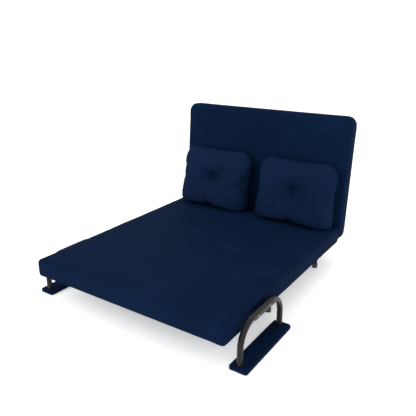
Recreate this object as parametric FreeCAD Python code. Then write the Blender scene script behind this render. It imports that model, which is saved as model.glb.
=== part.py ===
import FreeCAD, Part
import math
import os

# Fold-out sofa bed, opened flat with the backrest up. Millimetres, +Z up, floor at Z = 0.
# X runs from the left side to the right side, and Y from the front edge to the rear.
# Everything is drawn with Y measured from the front edge of the front section, and moved at
# the end so that the origin is on the floor at the centre of the whole outline.

V = FreeCAD.Vector
X_AXIS = V(1, 0, 0)

# Upholstered sections
HALF_WIDTH = 510.0        # centre to side of every pad
PAD_BOTTOM = 120.0        # underside of the seat pads above the floor
PAD_THICKNESS = 88.0
PAD_TOP = PAD_BOTTOM + PAD_THICKNESS
PAD_EDGE_RADIUS = 14.0
FRONT_END = 582.5         # rear face of the front section
MIDDLE_START = 585.5      # front face of the middle section
MIDDLE_END = 1164.5
SIDE_PADDING = 20.0       # foam outside each steel frame
BACK_HEIGHT = 626.0       # along the backrest, from its pivot to its top
BACK_CORNER_RADIUS = 40.0

# Fold hinge between the front and middle sections
FOLD_Y = 584.0
FOLD_Z = PAD_TOP + 0.5
LEAF_EYE_RADIUS = 6.5
LEAF_THICKNESS = 4.0
LEAF_X = 450.0            # inner face of the base leaf
LEAF_GAP = 0.5
FOLD_PIN_RADIUS = 3.0
RUNNING_GAP = 0.05        # radial gap of a pin in the part that turns on it
PIN_HEAD = 2.0            # thickness of a pin's head
HEAD_PLAY = 0.4           # play along a pin
RIVET_HEAD_RADIUS = 5.5
WELD_HALF = 8.0           # half the height of the foot that a plate is welded on by
HINGE_POCKET = (15.0, 24.0)   # the slot round the fold: half its length, and its depth

# Recline hinge between the middle section and the backrest
RECLINE_Y = 1212.5
RECLINE_Z = PAD_BOTTOM + PAD_THICKNESS / 2
LEAN = 4.64               # degrees that the upright backrest leans back
RECLINE_TRAVEL = 85.36    # degrees from upright to flat
RECLINE_STOPS = 5
RATCHET_X = 441.0         # inner face of the fixed bracket
RATCHET_THICKNESS = 5.0
RATCHET_RADIUS = 34.0
NOTCH_RADIUS = 4.0
ARM_X = 447.0             # inner face of the backrest arm
ARM_THICKNESS = 5.0
RECLINE_PIN_RADIUS = 5.0
RECLINE_HEAD_RADIUS = 8.0
SLOT_X = (438.0, 462.0)   # slots in the pads that both hinges work in
SLOT_RADIUS = 47.0

# Square tube of the three welded frames
BAR = 20.0
BAR_WALL = 1.5
FRAME_HALF = HALF_WIDTH - SIDE_PADDING
SIDE_BAR_X = FRAME_HALF - BAR / 2
SLAT_THICKNESS = 6.0
SLAT_WIDTH = 56.0
SLAT_COUNT = 6
SLAT_INSET = 4.0          # from each end of the frame
COVER_THICKNESS = 1.5
MIDDLE_BAR_Z = PAD_BOTTOM + COVER_THICKNESS + BAR / 2
FRONT_BAR_Z = 154.0

# Base legs: an inverted U of round tube on each side
TUBE_RADIUS = 12.5
TUBE_WALL = 1.5
LEG_X = 430.0
LEG_FRONT_Y = 509.0
LEG_REAR_Y = 1054.0
LUG_THICKNESS = 3.0
LUG_HALF = (16.0, 20.0)   # half the lug's size across and along
LEG_RAIL_Z = PAD_BOTTOM - LUG_THICKNESS - TUBE_RADIUS + 1.0
LEG_BEND = 50.0
BASE_CROSS_RADIUS = 11.0
BASE_CROSS_Y = (640.0, 950.0)
CAP_FLOOR = 4.0
CAP_HEIGHT = 22.0
CAP_RADIUS = 14.5
BUMPER_Y = (563.0, 579.0)
BUMPER_TOP = PAD_BOTTOM - 0.3

# Armrests: an inverted U of round tube on a padded board, beside the front section
ARM_TUBE_X = 536.0
ARM_FRONT_Y = 75.0
ARM_REAR_Y = 405.0
ARM_RAIL_Z = 180.0
ARM_BEND = 92.0
BOARD_X = (499.0, 577.0)
BOARD_Y = (54.0, 438.0)
BOARD_TOP = 18.0
WRAP = 4.0                # padding round the edge of the armrest board
WRAP_FACE = 6.0           # padding on the face that the elbow rests on
BOARD_CORNER = 12.0
PLATE_X = (519.5, 523.5)
PLATE_Y = (210.0, 385.0)
PLATE_LOW = 134.0
PLATE_CORNER = 6.0
ARM_BOLT_Y = (235.0, 330.0)
ARM_BOLT_Z = 152.0
SPACER_RADIUS = 8.0

# M8 fasteners
BOLT_RADIUS = 4.0
BOLT_HOLE = 4.05
HEX_RADIUS = 7.2          # across the corners of a 13 mm hexagon, halved
NUT_RADIUS = 6.4          # the same for the thin nuts inside the tubes
ROUND_HEAD = (8.0, 5.0)   # radius and thickness of the heads sunk in the armrest boards
COUNTERBORE_RADIUS = 9.0
PLUG_LENGTH = 18.0
HEAD_HEIGHT = 5.5
NUT_HEIGHT = 6.5

# Support leg behind the backrest, which always hangs straight down
HEAD_LEG_UP = 520.0       # along the backrest from its pivot
HEAD_LEG_OUT = 62.0       # behind the backrest's middle plane
HEAD_LEG_X = 330.0
HEAD_LEG_RADIUS = 10.0
HEAD_LEG_BEND = 38.0
HEAD_LEG_FLOOR_GAP = 1.0
EAR_GAP = 0.6
EAR_THICKNESS = 2.5
HEAD_PIN_RADIUS = 3.0

# Pillows, standing on the middle section against the backrest
PILLOW_X = 262.0
PILLOW_HALF_WIDTH = 222.0
PILLOW_HEIGHT = 335.0
PILLOW_THICKNESS = 108.0
PILLOW_EDGE_RADIUS = 40.0
PILLOW_BASE = 42.5        # along the backrest from its pivot
PILLOW_GAP = 1.0
TUFT_HEIGHT = 178.0
TUFT_RADIUS = 26.0
BUTTON_RADIUS = 9.0

# Outline from front to rear, which places the origin
REAR_EDGE = (
    RECLINE_Y
    + HEAD_LEG_UP * math.sin(math.radians(LEAN))
    + HEAD_LEG_OUT * math.cos(math.radians(LEAN))
    + HEAD_LEG_RADIUS
)
ORIGIN_Y = REAR_EDGE / 2


# ---------------------------------------------------------------- basic shapes

def box(x, y, z):
    """A block between (low, high) in X, Y and Z."""
    return Part.makeBox(x[1] - x[0], y[1] - y[0], z[1] - z[0], V(x[0], y[0], z[0]))


def rod(start, end, radius):
    """A round bar from one point to another."""
    axis = end.sub(start)
    return Part.makeCylinder(radius, axis.Length, start, axis)


def cross_rod(x, y, z, radius):
    """A round bar along X, between (low, high)."""
    return rod(V(x[0], y, z), V(x[1], y, z), radius)


def headed_pin(x, y, z, radius, head_radius):
    """A pin along X with a thin round head outside each end of its span."""
    low = (x[0] - PIN_HEAD, x[0])
    high = (x[1], x[1] + PIN_HEAD)
    shank = cross_rod((low[0], high[1]), y, z, radius)
    return joined([shank, cross_rod(low, y, z, head_radius), cross_rod(high, y, z, head_radius)])


def hexagon(start, end, corner_radius):
    """A hexagonal bar from one point to another."""
    axis = end.sub(start)
    across = axis.cross(V(0, 0, 1) if abs(axis.z) < axis.Length / 2 else X_AXIS).normalize()
    up = axis.cross(across).normalize()
    corners = []
    for turn in range(7):
        angle = math.radians(60 * turn)
        reach = across * math.cos(angle) + up * math.sin(angle)
        corners.append(start.add(reach * corner_radius))
    return Part.Face(Part.makePolygon(corners)).extrude(axis)


def joined(shapes):
    """One solid made of shapes that meet or overlap."""
    shapes = list(shapes)
    whole = shapes[0]
    if len(shapes) > 1:
        whole = shapes[0].multiFuse(shapes[1:])
    return whole.removeSplitter()


def cut(shape, *tools):
    """A shape with every tool taken out of it."""
    for tool in tools:
        shape = shape.cut(tool)
    return shape


def mirrored(shape):
    """The same shape on the other side of the centre plane."""
    return shape.mirror(V(0, 0, 0), X_AXIS)


def both_sides(*shapes):
    """Shapes drawn on the right side, with their mirror images, as a group of solids."""
    solids = []
    for shape in shapes:
        solids += shape.Solids + mirrored(shape).Solids
    return Part.makeCompound(solids)


def softened(shape, radius, chosen=None):
    """A shape with its edges rounded, or only those that chosen accepts by their middle."""
    edges = []
    for edge in shape.Edges:
        middle = edge.valueAt((edge.FirstParameter + edge.LastParameter) / 2)
        if chosen is None or chosen(edge, middle):
            edges.append(edge)
    return shape.makeFillet(radius, edges)


def bent_path(points, bend):
    """A wire of straight runs through points, with an arc of the bend radius at each corner."""
    edges = []
    start = points[0]
    for before, corner, after in zip(points, points[1:], points[2:]):
        back = before.sub(corner).normalize()
        ahead = after.sub(corner).normalize()
        half_angle = back.getAngle(ahead) / 2
        reach = bend / math.tan(half_angle)
        arc_start = corner.add(back * reach)
        arc_end = corner.add(ahead * reach)
        inward = back.add(ahead).normalize()
        centre = corner.add(inward * (bend / math.sin(half_angle)))
        edges.append(Part.LineSegment(start, arc_start).toShape())
        edges.append(Part.Arc(arc_start, centre.sub(inward * bend), arc_end).toShape())
        start = arc_end
    edges.append(Part.LineSegment(start, points[-1]).toShape())
    return Part.Wire(edges)


def swept(path, radius):
    """A solid round bar along a wire."""
    start = path.Edges[0].valueAt(path.Edges[0].FirstParameter)
    along = path.Edges[0].tangentAt(path.Edges[0].FirstParameter)
    circle = Part.Wire([Part.Circle(start, along, radius).toShape()])
    return path.makePipeShell([circle], True, False)


def bent_tube(points, bend, radius, wall):
    """A round tube through points, open at both ends."""
    path = bent_path(points, bend)
    return swept(path, radius).cut(swept(path, radius - wall))


def link_plate(circles, x):
    """A flat plate across X whose edge is stretched round circles of (y, z, radius), in a chain."""
    parts = []
    for y, z, radius in circles:
        parts.append(cross_rod(x, y, z, radius))
    for (y1, z1, r1), (y2, z2, r2) in zip(circles, circles[1:]):
        distance = math.hypot(y2 - y1, z2 - z1)
        along = math.atan2(z2 - z1, y2 - y1)
        splay = math.acos((r1 - r2) / distance)
        corners = []
        tangents = ((y1, z1, r1, 1), (y2, z2, r2, 1), (y2, z2, r2, -1), (y1, z1, r1, -1))
        for y, z, radius, side in tangents:
            angle = along + side * splay
            corners.append(V(x[0], y + radius * math.cos(angle), z + radius * math.sin(angle)))
        corners.append(corners[0])
        parts.append(Part.Face(Part.makePolygon(corners)).extrude(V(x[1] - x[0], 0, 0)))
    return joined(parts)


# ---------------------------------------------------------------- welded frames

def square_bar(start, end, half, overrun):
    """A square bar along Y, X or Z between two centre points, lengthened at both ends."""
    axis = end.sub(start).normalize()
    low = start.sub(axis * overrun)
    high = end.add(axis * overrun)
    span = []
    for a, b, along in ((low.x, high.x, axis.x), (low.y, high.y, axis.y), (low.z, high.z, axis.z)):
        grow = 0 if abs(along) > 0.5 else half
        span.append((min(a, b) - grow, max(a, b) + grow))
    return box(*span)


def ladder_bars(ends, rungs, height, half, overrun):
    """Side bars along Y and rungs along X between them, as separate bars."""
    bars = []
    for side in (-1, 1):
        x = side * SIDE_BAR_X
        bars.append(square_bar(V(x, ends[0], height), V(x, ends[1], height), half, 0))
    reach = SIDE_BAR_X - BAR / 2
    for y in rungs:
        bars.append(square_bar(V(-reach, y, height), V(reach, y, height), half, overrun))
    return bars


def ladder_frame(ends, rungs, height):
    """A welded ladder of square tube. The side tubes are open at their ends."""
    outside = joined(ladder_bars(ends, rungs, height, BAR / 2, 0))
    inside = joined(ladder_bars(ends, rungs, height, BAR / 2 - BAR_WALL, BAR / 2))
    return outside.cut(inside), outside


def slats_across(ends, bottom):
    """Flat slats along X at an even pitch, lying on a frame's side bars."""
    first = ends[0] + SLAT_INSET
    pitch = (ends[1] - SLAT_INSET - SLAT_WIDTH - first) / (SLAT_COUNT - 1)
    reach = FRAME_HALF - 2
    slats = []
    for index in range(SLAT_COUNT):
        y = first + index * pitch
        slats.append(box((-reach, reach), (y, y + SLAT_WIDTH), (bottom, bottom + SLAT_THICKNESS)))
    return Part.makeCompound(slats)


# ---------------------------------------------------------------- base body

MIDDLE_FRAME_Y = (MIDDLE_START + SIDE_PADDING, MIDDLE_END - SIDE_PADDING)
MIDDLE_RUNGS = (MIDDLE_FRAME_Y[0] + BAR / 2, 800.0, 985.0, MIDDLE_FRAME_Y[1] - BAR / 2)
BASE_BOLT_Y = (MIDDLE_RUNGS[0], MIDDLE_RUNGS[2])
MIDDLE_SLAT_Z = MIDDLE_BAR_Z + BAR / 2


def base_bolt_holes(z):
    """Vertical holes for the bolts that hold the legs to the seat frame."""
    holes = []
    for x in (-LEG_X, LEG_X):
        for y in BASE_BOLT_Y:
            holes.append(rod(V(x, y, z[0]), V(x, y, z[1]), BOLT_HOLE))
    return Part.makeCompound(holes)


def middle_frame():
    """The welded frame of the fixed middle section, drilled for the base bolts."""
    frame, _ = ladder_frame(MIDDLE_FRAME_Y, MIDDLE_RUNGS, MIDDLE_BAR_Z)
    return frame.cut(base_bolt_holes((PAD_BOTTOM, MIDDLE_BAR_Z)))


def middle_cover():
    """The thin cloth under the middle section."""
    sheet = box(
        (-FRAME_HALF, FRAME_HALF),
        MIDDLE_FRAME_Y,
        (PAD_BOTTOM, PAD_BOTTOM + COVER_THICKNESS),
    )
    return sheet.cut(base_bolt_holes((PAD_BOTTOM - 1, PAD_BOTTOM + COVER_THICKNESS + 1)))


def hinge_slots():
    """Notches in both pads that the fold hinge works in."""
    reach, depth = HINGE_POCKET
    return both_sides(box(SLOT_X, (FOLD_Y - reach, FOLD_Y + reach), (PAD_TOP - depth, PAD_TOP + 1)))


def middle_pad(leaves, brackets):
    """Foam of the middle section, open below for the frame and at each hinge."""
    block = box((-HALF_WIDTH, HALF_WIDTH), (MIDDLE_START, MIDDLE_END), (PAD_BOTTOM, PAD_TOP))
    block = softened(block, PAD_EDGE_RADIUS)
    pocket = box(
        (-FRAME_HALF, FRAME_HALF),
        MIDDLE_FRAME_Y,
        (PAD_BOTTOM - 1, MIDDLE_SLAT_Z + SLAT_THICKNESS),
    )
    return cut(block, pocket, hinge_slots(), leaves, brackets)


def base_leg(x):
    """One inverted U of tube with two lugs welded on top of its rail."""
    points = [
        V(x, LEG_FRONT_Y, CAP_FLOOR),
        V(x, LEG_FRONT_Y, LEG_RAIL_Z),
        V(x, LEG_REAR_Y, LEG_RAIL_Z),
        V(x, LEG_REAR_Y, CAP_FLOOR),
    ]
    path = bent_path(points, LEG_BEND)
    lugs = []
    for y in BASE_BOLT_Y:
        across = (x - LUG_HALF[0], x + LUG_HALF[0])
        along = (y - LUG_HALF[1], y + LUG_HALF[1])
        lugs.append(box(across, along, (PAD_BOTTOM - LUG_THICKNESS, PAD_BOTTOM)))
    leg = joined([swept(path, TUBE_RADIUS)] + lugs).cut(swept(path, TUBE_RADIUS - TUBE_WALL))
    return leg.cut(base_bolt_holes((LEG_RAIL_Z - 20, PAD_BOTTOM + 1)))


def base_crossbar(y):
    """A round tube between the two rails, its ends coped to fit them."""
    bar = cross_rod((-LEG_X, LEG_X), y, LEG_RAIL_Z, BASE_CROSS_RADIUS)
    bar = bar.cut(cross_rod((-LEG_X, LEG_X), y, LEG_RAIL_Z, BASE_CROSS_RADIUS - TUBE_WALL))
    for x in (-LEG_X, LEG_X):
        bar = bar.cut(rod(V(x, y - 40, LEG_RAIL_Z), V(x, y + 40, LEG_RAIL_Z), TUBE_RADIUS))
    return bar


def base_foot_caps():
    """Plastic caps on the four ends of the base legs."""
    caps = []
    for x in (-LEG_X, LEG_X):
        for y in (LEG_FRONT_Y, LEG_REAR_Y):
            cup = rod(V(x, y, 0), V(x, y, CAP_HEIGHT), CAP_RADIUS)
            cup = softened(cup, 2.0, lambda edge, middle: middle.z > CAP_HEIGHT - 1)
            caps.append(cup.cut(rod(V(x, y, CAP_FLOOR), V(x, y, CAP_HEIGHT + 1), TUBE_RADIUS)))
    return Part.makeCompound(caps)


def base_bolts():
    """Bolts up through each rail and lug into the seat frame's cross tubes."""
    head_top = LEG_RAIL_Z - TUBE_RADIUS
    bolts = []
    for y in BASE_BOLT_Y:
        head = hexagon(V(LEG_X, y, head_top - HEAD_HEIGHT), V(LEG_X, y, head_top), HEX_RADIUS)
        shank = rod(V(LEG_X, y, head_top - 1), V(LEG_X, y, MIDDLE_BAR_Z - 1), BOLT_RADIUS)
        bolts.append(joined([head, shank]))
    return both_sides(*bolts)


def base_bumpers():
    """Rubber saddles on the front of each rail, which the opened front section lands on."""
    block = box((LEG_X - 11, LEG_X + 11), BUMPER_Y, (LEG_RAIL_Z + 4, BUMPER_TOP))
    rail = rod(V(LEG_X, LEG_FRONT_Y, LEG_RAIL_Z), V(LEG_X, LEG_REAR_Y, LEG_RAIL_Z), TUBE_RADIUS)
    return both_sides(block.cut(rail))


def base_hinge_leaves():
    """Upright plates welded to the front cross tube, with an eye at the top of the seam."""
    x = (LEAF_X, LEAF_X + LEAF_THICKNESS)
    foot_y = MIDDLE_FRAME_Y[0] - 8
    plate = link_plate([
        (FOLD_Y, FOLD_Z, LEAF_EYE_RADIUS),
        (foot_y, 170.0, 7.0),
        (foot_y, MIDDLE_BAR_Z, WELD_HALF),
    ], x)
    foot_z = (MIDDLE_BAR_Z - WELD_HALF, MIDDLE_BAR_Z + WELD_HALF)
    weld = box(x, (foot_y, MIDDLE_FRAME_Y[0]), foot_z)
    hole = cross_rod((LEAF_X - 1, LEAF_X + 9), FOLD_Y, FOLD_Z, FOLD_PIN_RADIUS)
    return both_sides(joined([plate, weld]).cut(hole))


def fold_hinge_pins():
    """Rivets through both leaves of each fold hinge."""
    outer = LEAF_X + 2 * LEAF_THICKNESS + LEAF_GAP + HEAD_PLAY
    return both_sides(headed_pin(
        (LEAF_X, outer), FOLD_Y, FOLD_Z, FOLD_PIN_RADIUS, RIVET_HEAD_RADIUS
    ))


def recline_brackets():
    """Fixed plates on the seat frame's rear cross tube, each with a notched disc at the pivot."""
    x = (RATCHET_X, RATCHET_X + RATCHET_THICKNESS)
    foot_y = MIDDLE_FRAME_Y[1] + 10
    plate = link_plate(
        [(RECLINE_Y, RECLINE_Z, RATCHET_RADIUS), (foot_y, MIDDLE_BAR_Z + 1, 9.0)], x
    )
    foot_z = (MIDDLE_BAR_Z - WELD_HALF, MIDDLE_BAR_Z + BAR / 2)
    weld = box(x, (MIDDLE_FRAME_Y[1], foot_y), foot_z)
    plate = joined([plate, weld])
    for stop in range(RECLINE_STOPS):
        angle = math.radians(90 - LEAN - stop * RECLINE_TRAVEL / (RECLINE_STOPS - 1))
        y = RECLINE_Y + RATCHET_RADIUS * math.cos(angle)
        z = RECLINE_Z + RATCHET_RADIUS * math.sin(angle)
        plate = plate.cut(cross_rod((x[0] - 1, x[1] + 1), y, z, NOTCH_RADIUS))
    hole = cross_rod((x[0] - 1, x[1] + 1), RECLINE_Y, RECLINE_Z, RECLINE_PIN_RADIUS)
    return both_sides(plate.cut(hole))


def recline_pins():
    """Shouldered pins fixed in the brackets, which the backrest arms turn on."""
    tip = ARM_X + ARM_THICKNESS + HEAD_PLAY
    return both_sides(headed_pin(
        (RATCHET_X, tip), RECLINE_Y, RECLINE_Z, RECLINE_PIN_RADIUS, RECLINE_HEAD_RADIUS
    ))


def base_body():
    """Every piece that stays still on the floor."""
    leaves = base_hinge_leaves()
    brackets = recline_brackets()
    return {
        "middle_pad": middle_pad(leaves, brackets),
        "middle_frame": middle_frame(),
        "middle_slats": slats_across(MIDDLE_FRAME_Y, MIDDLE_SLAT_Z),
        "middle_bottom_cover": middle_cover(),
        "base_leg_left": base_leg(-LEG_X),
        "base_leg_right": base_leg(LEG_X),
        "base_crossbar_front": base_crossbar(BASE_CROSS_Y[0]),
        "base_crossbar_rear": base_crossbar(BASE_CROSS_Y[1]),
        "base_foot_caps": base_foot_caps(),
        "base_bolts": base_bolts(),
        "base_bumpers": base_bumpers(),
        "fold_hinge_base_leaves": leaves,
        "fold_hinge_pins": fold_hinge_pins(),
        "recline_brackets": brackets,
        "recline_pins": recline_pins(),
    }


# ---------------------------------------------------------------- front body

FRONT_FRAME_Y = (SIDE_PADDING, FRONT_END - SIDE_PADDING)
FRONT_RUNGS = (FRONT_FRAME_Y[0] + BAR / 2, 187.5, 376.25, FRONT_FRAME_Y[1] - BAR / 2)
FRONT_SLAT_Z = FRONT_BAR_Z + BAR / 2
SPACER_X = (FRAME_HALF, PLATE_X[0])


def arm_bolt_lines(x, radius):
    """Round bars along X at the places of the armrest bolts, on the right side."""
    return [cross_rod(x, y, ARM_BOLT_Z, radius) for y in ARM_BOLT_Y]


def front_hinge_leaves():
    """Plates welded to the front frame's rear cross tube, beside the base leaves."""
    inner = LEAF_X + LEAF_THICKNESS + LEAF_GAP
    x = (inner, inner + LEAF_THICKNESS)
    foot_y = FRONT_FRAME_Y[1] + 8
    plate = link_plate([(FOLD_Y, FOLD_Z, LEAF_EYE_RADIUS), (foot_y, FRONT_BAR_Z, WELD_HALF)], x)
    foot_z = (FRONT_BAR_Z - WELD_HALF, FRONT_BAR_Z + WELD_HALF)
    weld = box(x, (FRONT_FRAME_Y[1], foot_y), foot_z)
    hole = cross_rod((x[0] - 1, x[1] + 1), FOLD_Y, FOLD_Z, FOLD_PIN_RADIUS + RUNNING_GAP)
    return both_sides(joined([plate, weld]).cut(hole))


def front_pads(frame_outside, slats, leaves):
    """Upper and lower foam halves, pressed round the frame, slats and spacers."""
    block = box((-HALF_WIDTH, HALF_WIDTH), (0, FRONT_END), (PAD_BOTTOM, PAD_TOP))
    block = softened(block, PAD_EDGE_RADIUS)
    spacer_holes = both_sides(*arm_bolt_lines((FRAME_HALF - 1, HALF_WIDTH + 1), SPACER_RADIUS))
    block = cut(block, frame_outside, slats, leaves, hinge_slots(), spacer_holes)
    wide = (-HALF_WIDTH - 1, HALF_WIDTH + 1)
    long = (-1, FRONT_END + 1)
    upper = block.common(box(wide, long, (FRONT_BAR_Z, PAD_TOP + 1)))
    lower = block.common(box(wide, long, (PAD_BOTTOM - 1, FRONT_BAR_Z)))
    return upper, lower


def arm_tube(x):
    """One armrest: a U of bent tube, up from the board, along and down again."""
    points = [
        V(x, ARM_FRONT_Y, BOARD_TOP),
        V(x, ARM_FRONT_Y, ARM_RAIL_Z),
        V(x, ARM_REAR_Y, ARM_RAIL_Z),
        V(x, ARM_REAR_Y, BOARD_TOP),
    ]
    return bent_tube(points, ARM_BEND, TUBE_RADIUS, TUBE_WALL)


def arm_plate():
    """Right-side plate for the two bolts. Its upper edge follows the tube's centreline."""
    bend_y = ARM_REAR_Y - ARM_BEND
    bend_z = ARM_RAIL_Z - ARM_BEND
    sweep = math.asin((PLATE_Y[1] - bend_y) / ARM_BEND)
    arc = []
    for angle in (0.0, sweep / 2, sweep):
        y = bend_y + ARM_BEND * math.sin(angle)
        arc.append(V(PLATE_X[0], y, bend_z + ARM_BEND * math.cos(angle)))
    low_rear = V(PLATE_X[0], PLATE_Y[1], PLATE_LOW)
    low_front = V(PLATE_X[0], PLATE_Y[0], PLATE_LOW)
    high_front = V(PLATE_X[0], PLATE_Y[0], ARM_RAIL_Z)
    edges = [Part.Arc(*arc).toShape()]
    corners = (arc[2], low_rear, low_front, high_front, arc[0])
    for start, end in zip(corners, corners[1:]):
        edges.append(Part.LineSegment(start, end).toShape())
    plate = Part.Face(Part.Wire(edges)).extrude(V(PLATE_X[1] - PLATE_X[0], 0, 0))
    plate = softened(
        plate,
        PLATE_CORNER,
        lambda edge, middle: abs(edge.tangentAt(edge.FirstParameter).x) > 0.9 and middle.z < 140,
    )
    return cut(plate, *arm_bolt_lines((PLATE_X[0] - 1, PLATE_X[1] + 1), BOLT_HOLE))


def arm_spacers():
    """Short tubes that carry the bolt load through the soft side of the section."""
    spacers = []
    for outer, hole in zip(
        arm_bolt_lines(SPACER_X, SPACER_RADIUS), arm_bolt_lines(SPACER_X, BOLT_HOLE)
    ):
        spacers.append(outer.cut(hole))
    return both_sides(*spacers)


def arm_bolts():
    """Bolts through plate and spacer into the side tube of the front frame."""
    bolts = []
    tip = FRAME_HALF - BAR_WALL - NUT_HEIGHT - 2
    for y in ARM_BOLT_Y:
        head = hexagon(
            V(PLATE_X[1], y, ARM_BOLT_Z), V(PLATE_X[1] + HEAD_HEIGHT, y, ARM_BOLT_Z), HEX_RADIUS
        )
        shank = cross_rod((tip, PLATE_X[1] + 1), y, ARM_BOLT_Z, BOLT_RADIUS)
        bolts.append(joined([head, shank]))
    return both_sides(*bolts)


def arm_nuts():
    """Nuts welded inside the side tubes."""
    inner_wall = FRAME_HALF - BAR_WALL
    nuts = []
    for y in ARM_BOLT_Y:
        nut = hexagon(
            V(inner_wall - NUT_HEIGHT, y, ARM_BOLT_Z), V(inner_wall, y, ARM_BOLT_Z), NUT_RADIUS
        )
        nuts.append(nut.cut(cross_rod((inner_wall - 9, inner_wall + 1), y, ARM_BOLT_Z, BOLT_HOLE)))
    return both_sides(*nuts)


def upright_edge(edge, middle):
    """True for an edge that runs along Z."""
    return abs(edge.tangentAt(edge.FirstParameter).z) > 0.9


def arm_leg_places(x):
    """Where the two ends of an armrest tube stand on its board."""
    return [V(x, y, 0) for y in (ARM_FRONT_Y, ARM_REAR_Y)]


def arm_board(side):
    """The plywood core of an armrest, with a counterbored hole under each tube end."""
    x = sorted((side * (BOARD_X[0] + WRAP), side * (BOARD_X[1] - WRAP)))
    board = box(x, (BOARD_Y[0] + WRAP, BOARD_Y[1] - WRAP), (WRAP_FACE, BOARD_TOP))
    board = softened(board, BOARD_CORNER - WRAP, upright_edge)
    for place in arm_leg_places(side * ARM_TUBE_X):
        board = board.cut(rod(place, place.add(V(0, 0, BOARD_TOP + 1)), BOLT_HOLE))
        sunk = place.add(V(0, 0, WRAP_FACE + ROUND_HEAD[1]))
        board = board.cut(rod(place, sunk, COUNTERBORE_RADIUS))
    return board


def arm_pad(side):
    """The padded fabric wrap round an armrest board."""
    x = sorted((side * BOARD_X[0], side * BOARD_X[1]))
    wrap = softened(box(x, BOARD_Y, (0, BOARD_TOP)), BOARD_CORNER, upright_edge)
    wrap = softened(wrap, 2.0, lambda edge, middle: middle.z < 0.1)
    x_inner = sorted((side * (BOARD_X[0] + WRAP), side * (BOARD_X[1] - WRAP)))
    core = box(x_inner, (BOARD_Y[0] + WRAP, BOARD_Y[1] - WRAP), (WRAP_FACE, BOARD_TOP + 1))
    core = softened(core, BOARD_CORNER - WRAP, upright_edge)
    return wrap.cut(core)


def arm_tube_plugs():
    """Threaded plugs pressed into the lower ends of the armrest tubes."""
    plugs = []
    for place in arm_leg_places(ARM_TUBE_X):
        low = place.add(V(0, 0, BOARD_TOP))
        high = place.add(V(0, 0, BOARD_TOP + PLUG_LENGTH))
        plugs.append(rod(low, high, TUBE_RADIUS - TUBE_WALL).cut(rod(low, high, BOLT_HOLE)))
    return both_sides(*plugs)


def arm_leg_bolts():
    """Bolts from under each board up into the tube plugs."""
    bolts = []
    for place in arm_leg_places(ARM_TUBE_X):
        head_low = place.add(V(0, 0, WRAP_FACE))
        head_high = place.add(V(0, 0, WRAP_FACE + ROUND_HEAD[1]))
        tip = place.add(V(0, 0, BOARD_TOP + PLUG_LENGTH - 1))
        head = rod(head_low, head_high, ROUND_HEAD[0])
        bolts.append(joined([head, rod(head_high.sub(V(0, 0, 1)), tip, BOLT_RADIUS)]))
    return both_sides(*bolts)


def front_body():
    """Every piece that folds over with the front section."""
    frame, outside = ladder_frame(FRONT_FRAME_Y, FRONT_RUNGS, FRONT_BAR_Z)
    bolt_holes = both_sides(*arm_bolt_lines((SIDE_BAR_X, FRAME_HALF + 1), BOLT_HOLE))
    slats = slats_across(FRONT_FRAME_Y, FRONT_SLAT_Z)
    leaves = front_hinge_leaves()
    upper, lower = front_pads(outside, slats, leaves)
    plate = arm_plate()
    return {
        "front_pad_upper": upper,
        "front_pad_lower": lower,
        "front_frame": frame.cut(bolt_holes),
        "front_slats": slats,
        "fold_hinge_front_leaves": leaves,
        "arm_tube_left": arm_tube(-ARM_TUBE_X),
        "arm_tube_right": arm_tube(ARM_TUBE_X),
        "arm_plate_left": mirrored(plate),
        "arm_plate_right": plate,
        "arm_spacers": arm_spacers(),
        "arm_bolts": arm_bolts(),
        "arm_nuts": arm_nuts(),
        "arm_board_left": arm_board(-1),
        "arm_board_right": arm_board(1),
        "arm_pad_left": arm_pad(-1),
        "arm_pad_right": arm_pad(1),
        "arm_tube_plugs": arm_tube_plugs(),
        "arm_leg_bolts": arm_leg_bolts(),
    }


# ---------------------------------------------------------------- backrest body
# Drawn upright round the recline pivot: Y is behind the middle plane, Z is up the backrest.

BACK_FRAME_UP = (70.0, BACK_HEIGHT - SIDE_PADDING)
BACK_RUNGS = (BACK_FRAME_UP[0] + BAR / 2, 335.0, BACK_FRAME_UP[1] - BAR / 2)
WEBBING_UP = (140.0, 215.0, 290.0, 390.0, 465.0, 540.0)
WEBBING_WIDTH = 50.0
WEBBING_THICKNESS = 2.0
PAWL_PIN = (0.0, 58.0)
PAWL_PIN_RADIUS = 2.5
PAWL_NOSE = 3.5
SPRING_CENTRE = (25.2, 56.0)
SPRING_RADII = (18.2, 19.0)
PAWL_GAP = 0.5            # between the pawl's nose and the disc's rim


def leaned(shape):
    """A backrest part moved from its own upright place to the leaning rest place."""
    shape = shape.copy()
    shape.rotate(V(0, 0, 0), X_AXIS, -LEAN)
    shape.translate(V(0, RECLINE_Y, RECLINE_Z))
    return shape


def back_bars(half, overrun):
    """Side bars and cross bars of the backrest frame, grown by an overrun."""
    bars = []
    for side in (-1, 1):
        x = side * SIDE_BAR_X
        bars.append(square_bar(V(x, 0, BACK_FRAME_UP[0]), V(x, 0, BACK_FRAME_UP[1]), half, 0))
    reach = SIDE_BAR_X - BAR / 2
    for up in BACK_RUNGS:
        bars.append(square_bar(V(-reach, 0, up), V(reach, 0, up), half, overrun))
    return bars


def back_webbing():
    """Elastic straps across the front of the frame."""
    straps = []
    for up in WEBBING_UP:
        low = up - WEBBING_WIDTH / 2
        straps.append(
            box(
                (-FRAME_HALF + 2, FRAME_HALF - 2),
                (-BAR / 2 - WEBBING_THICKNESS, -BAR / 2),
                (low, low + WEBBING_WIDTH),
            )
        )
    return Part.makeCompound(straps)


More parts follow.
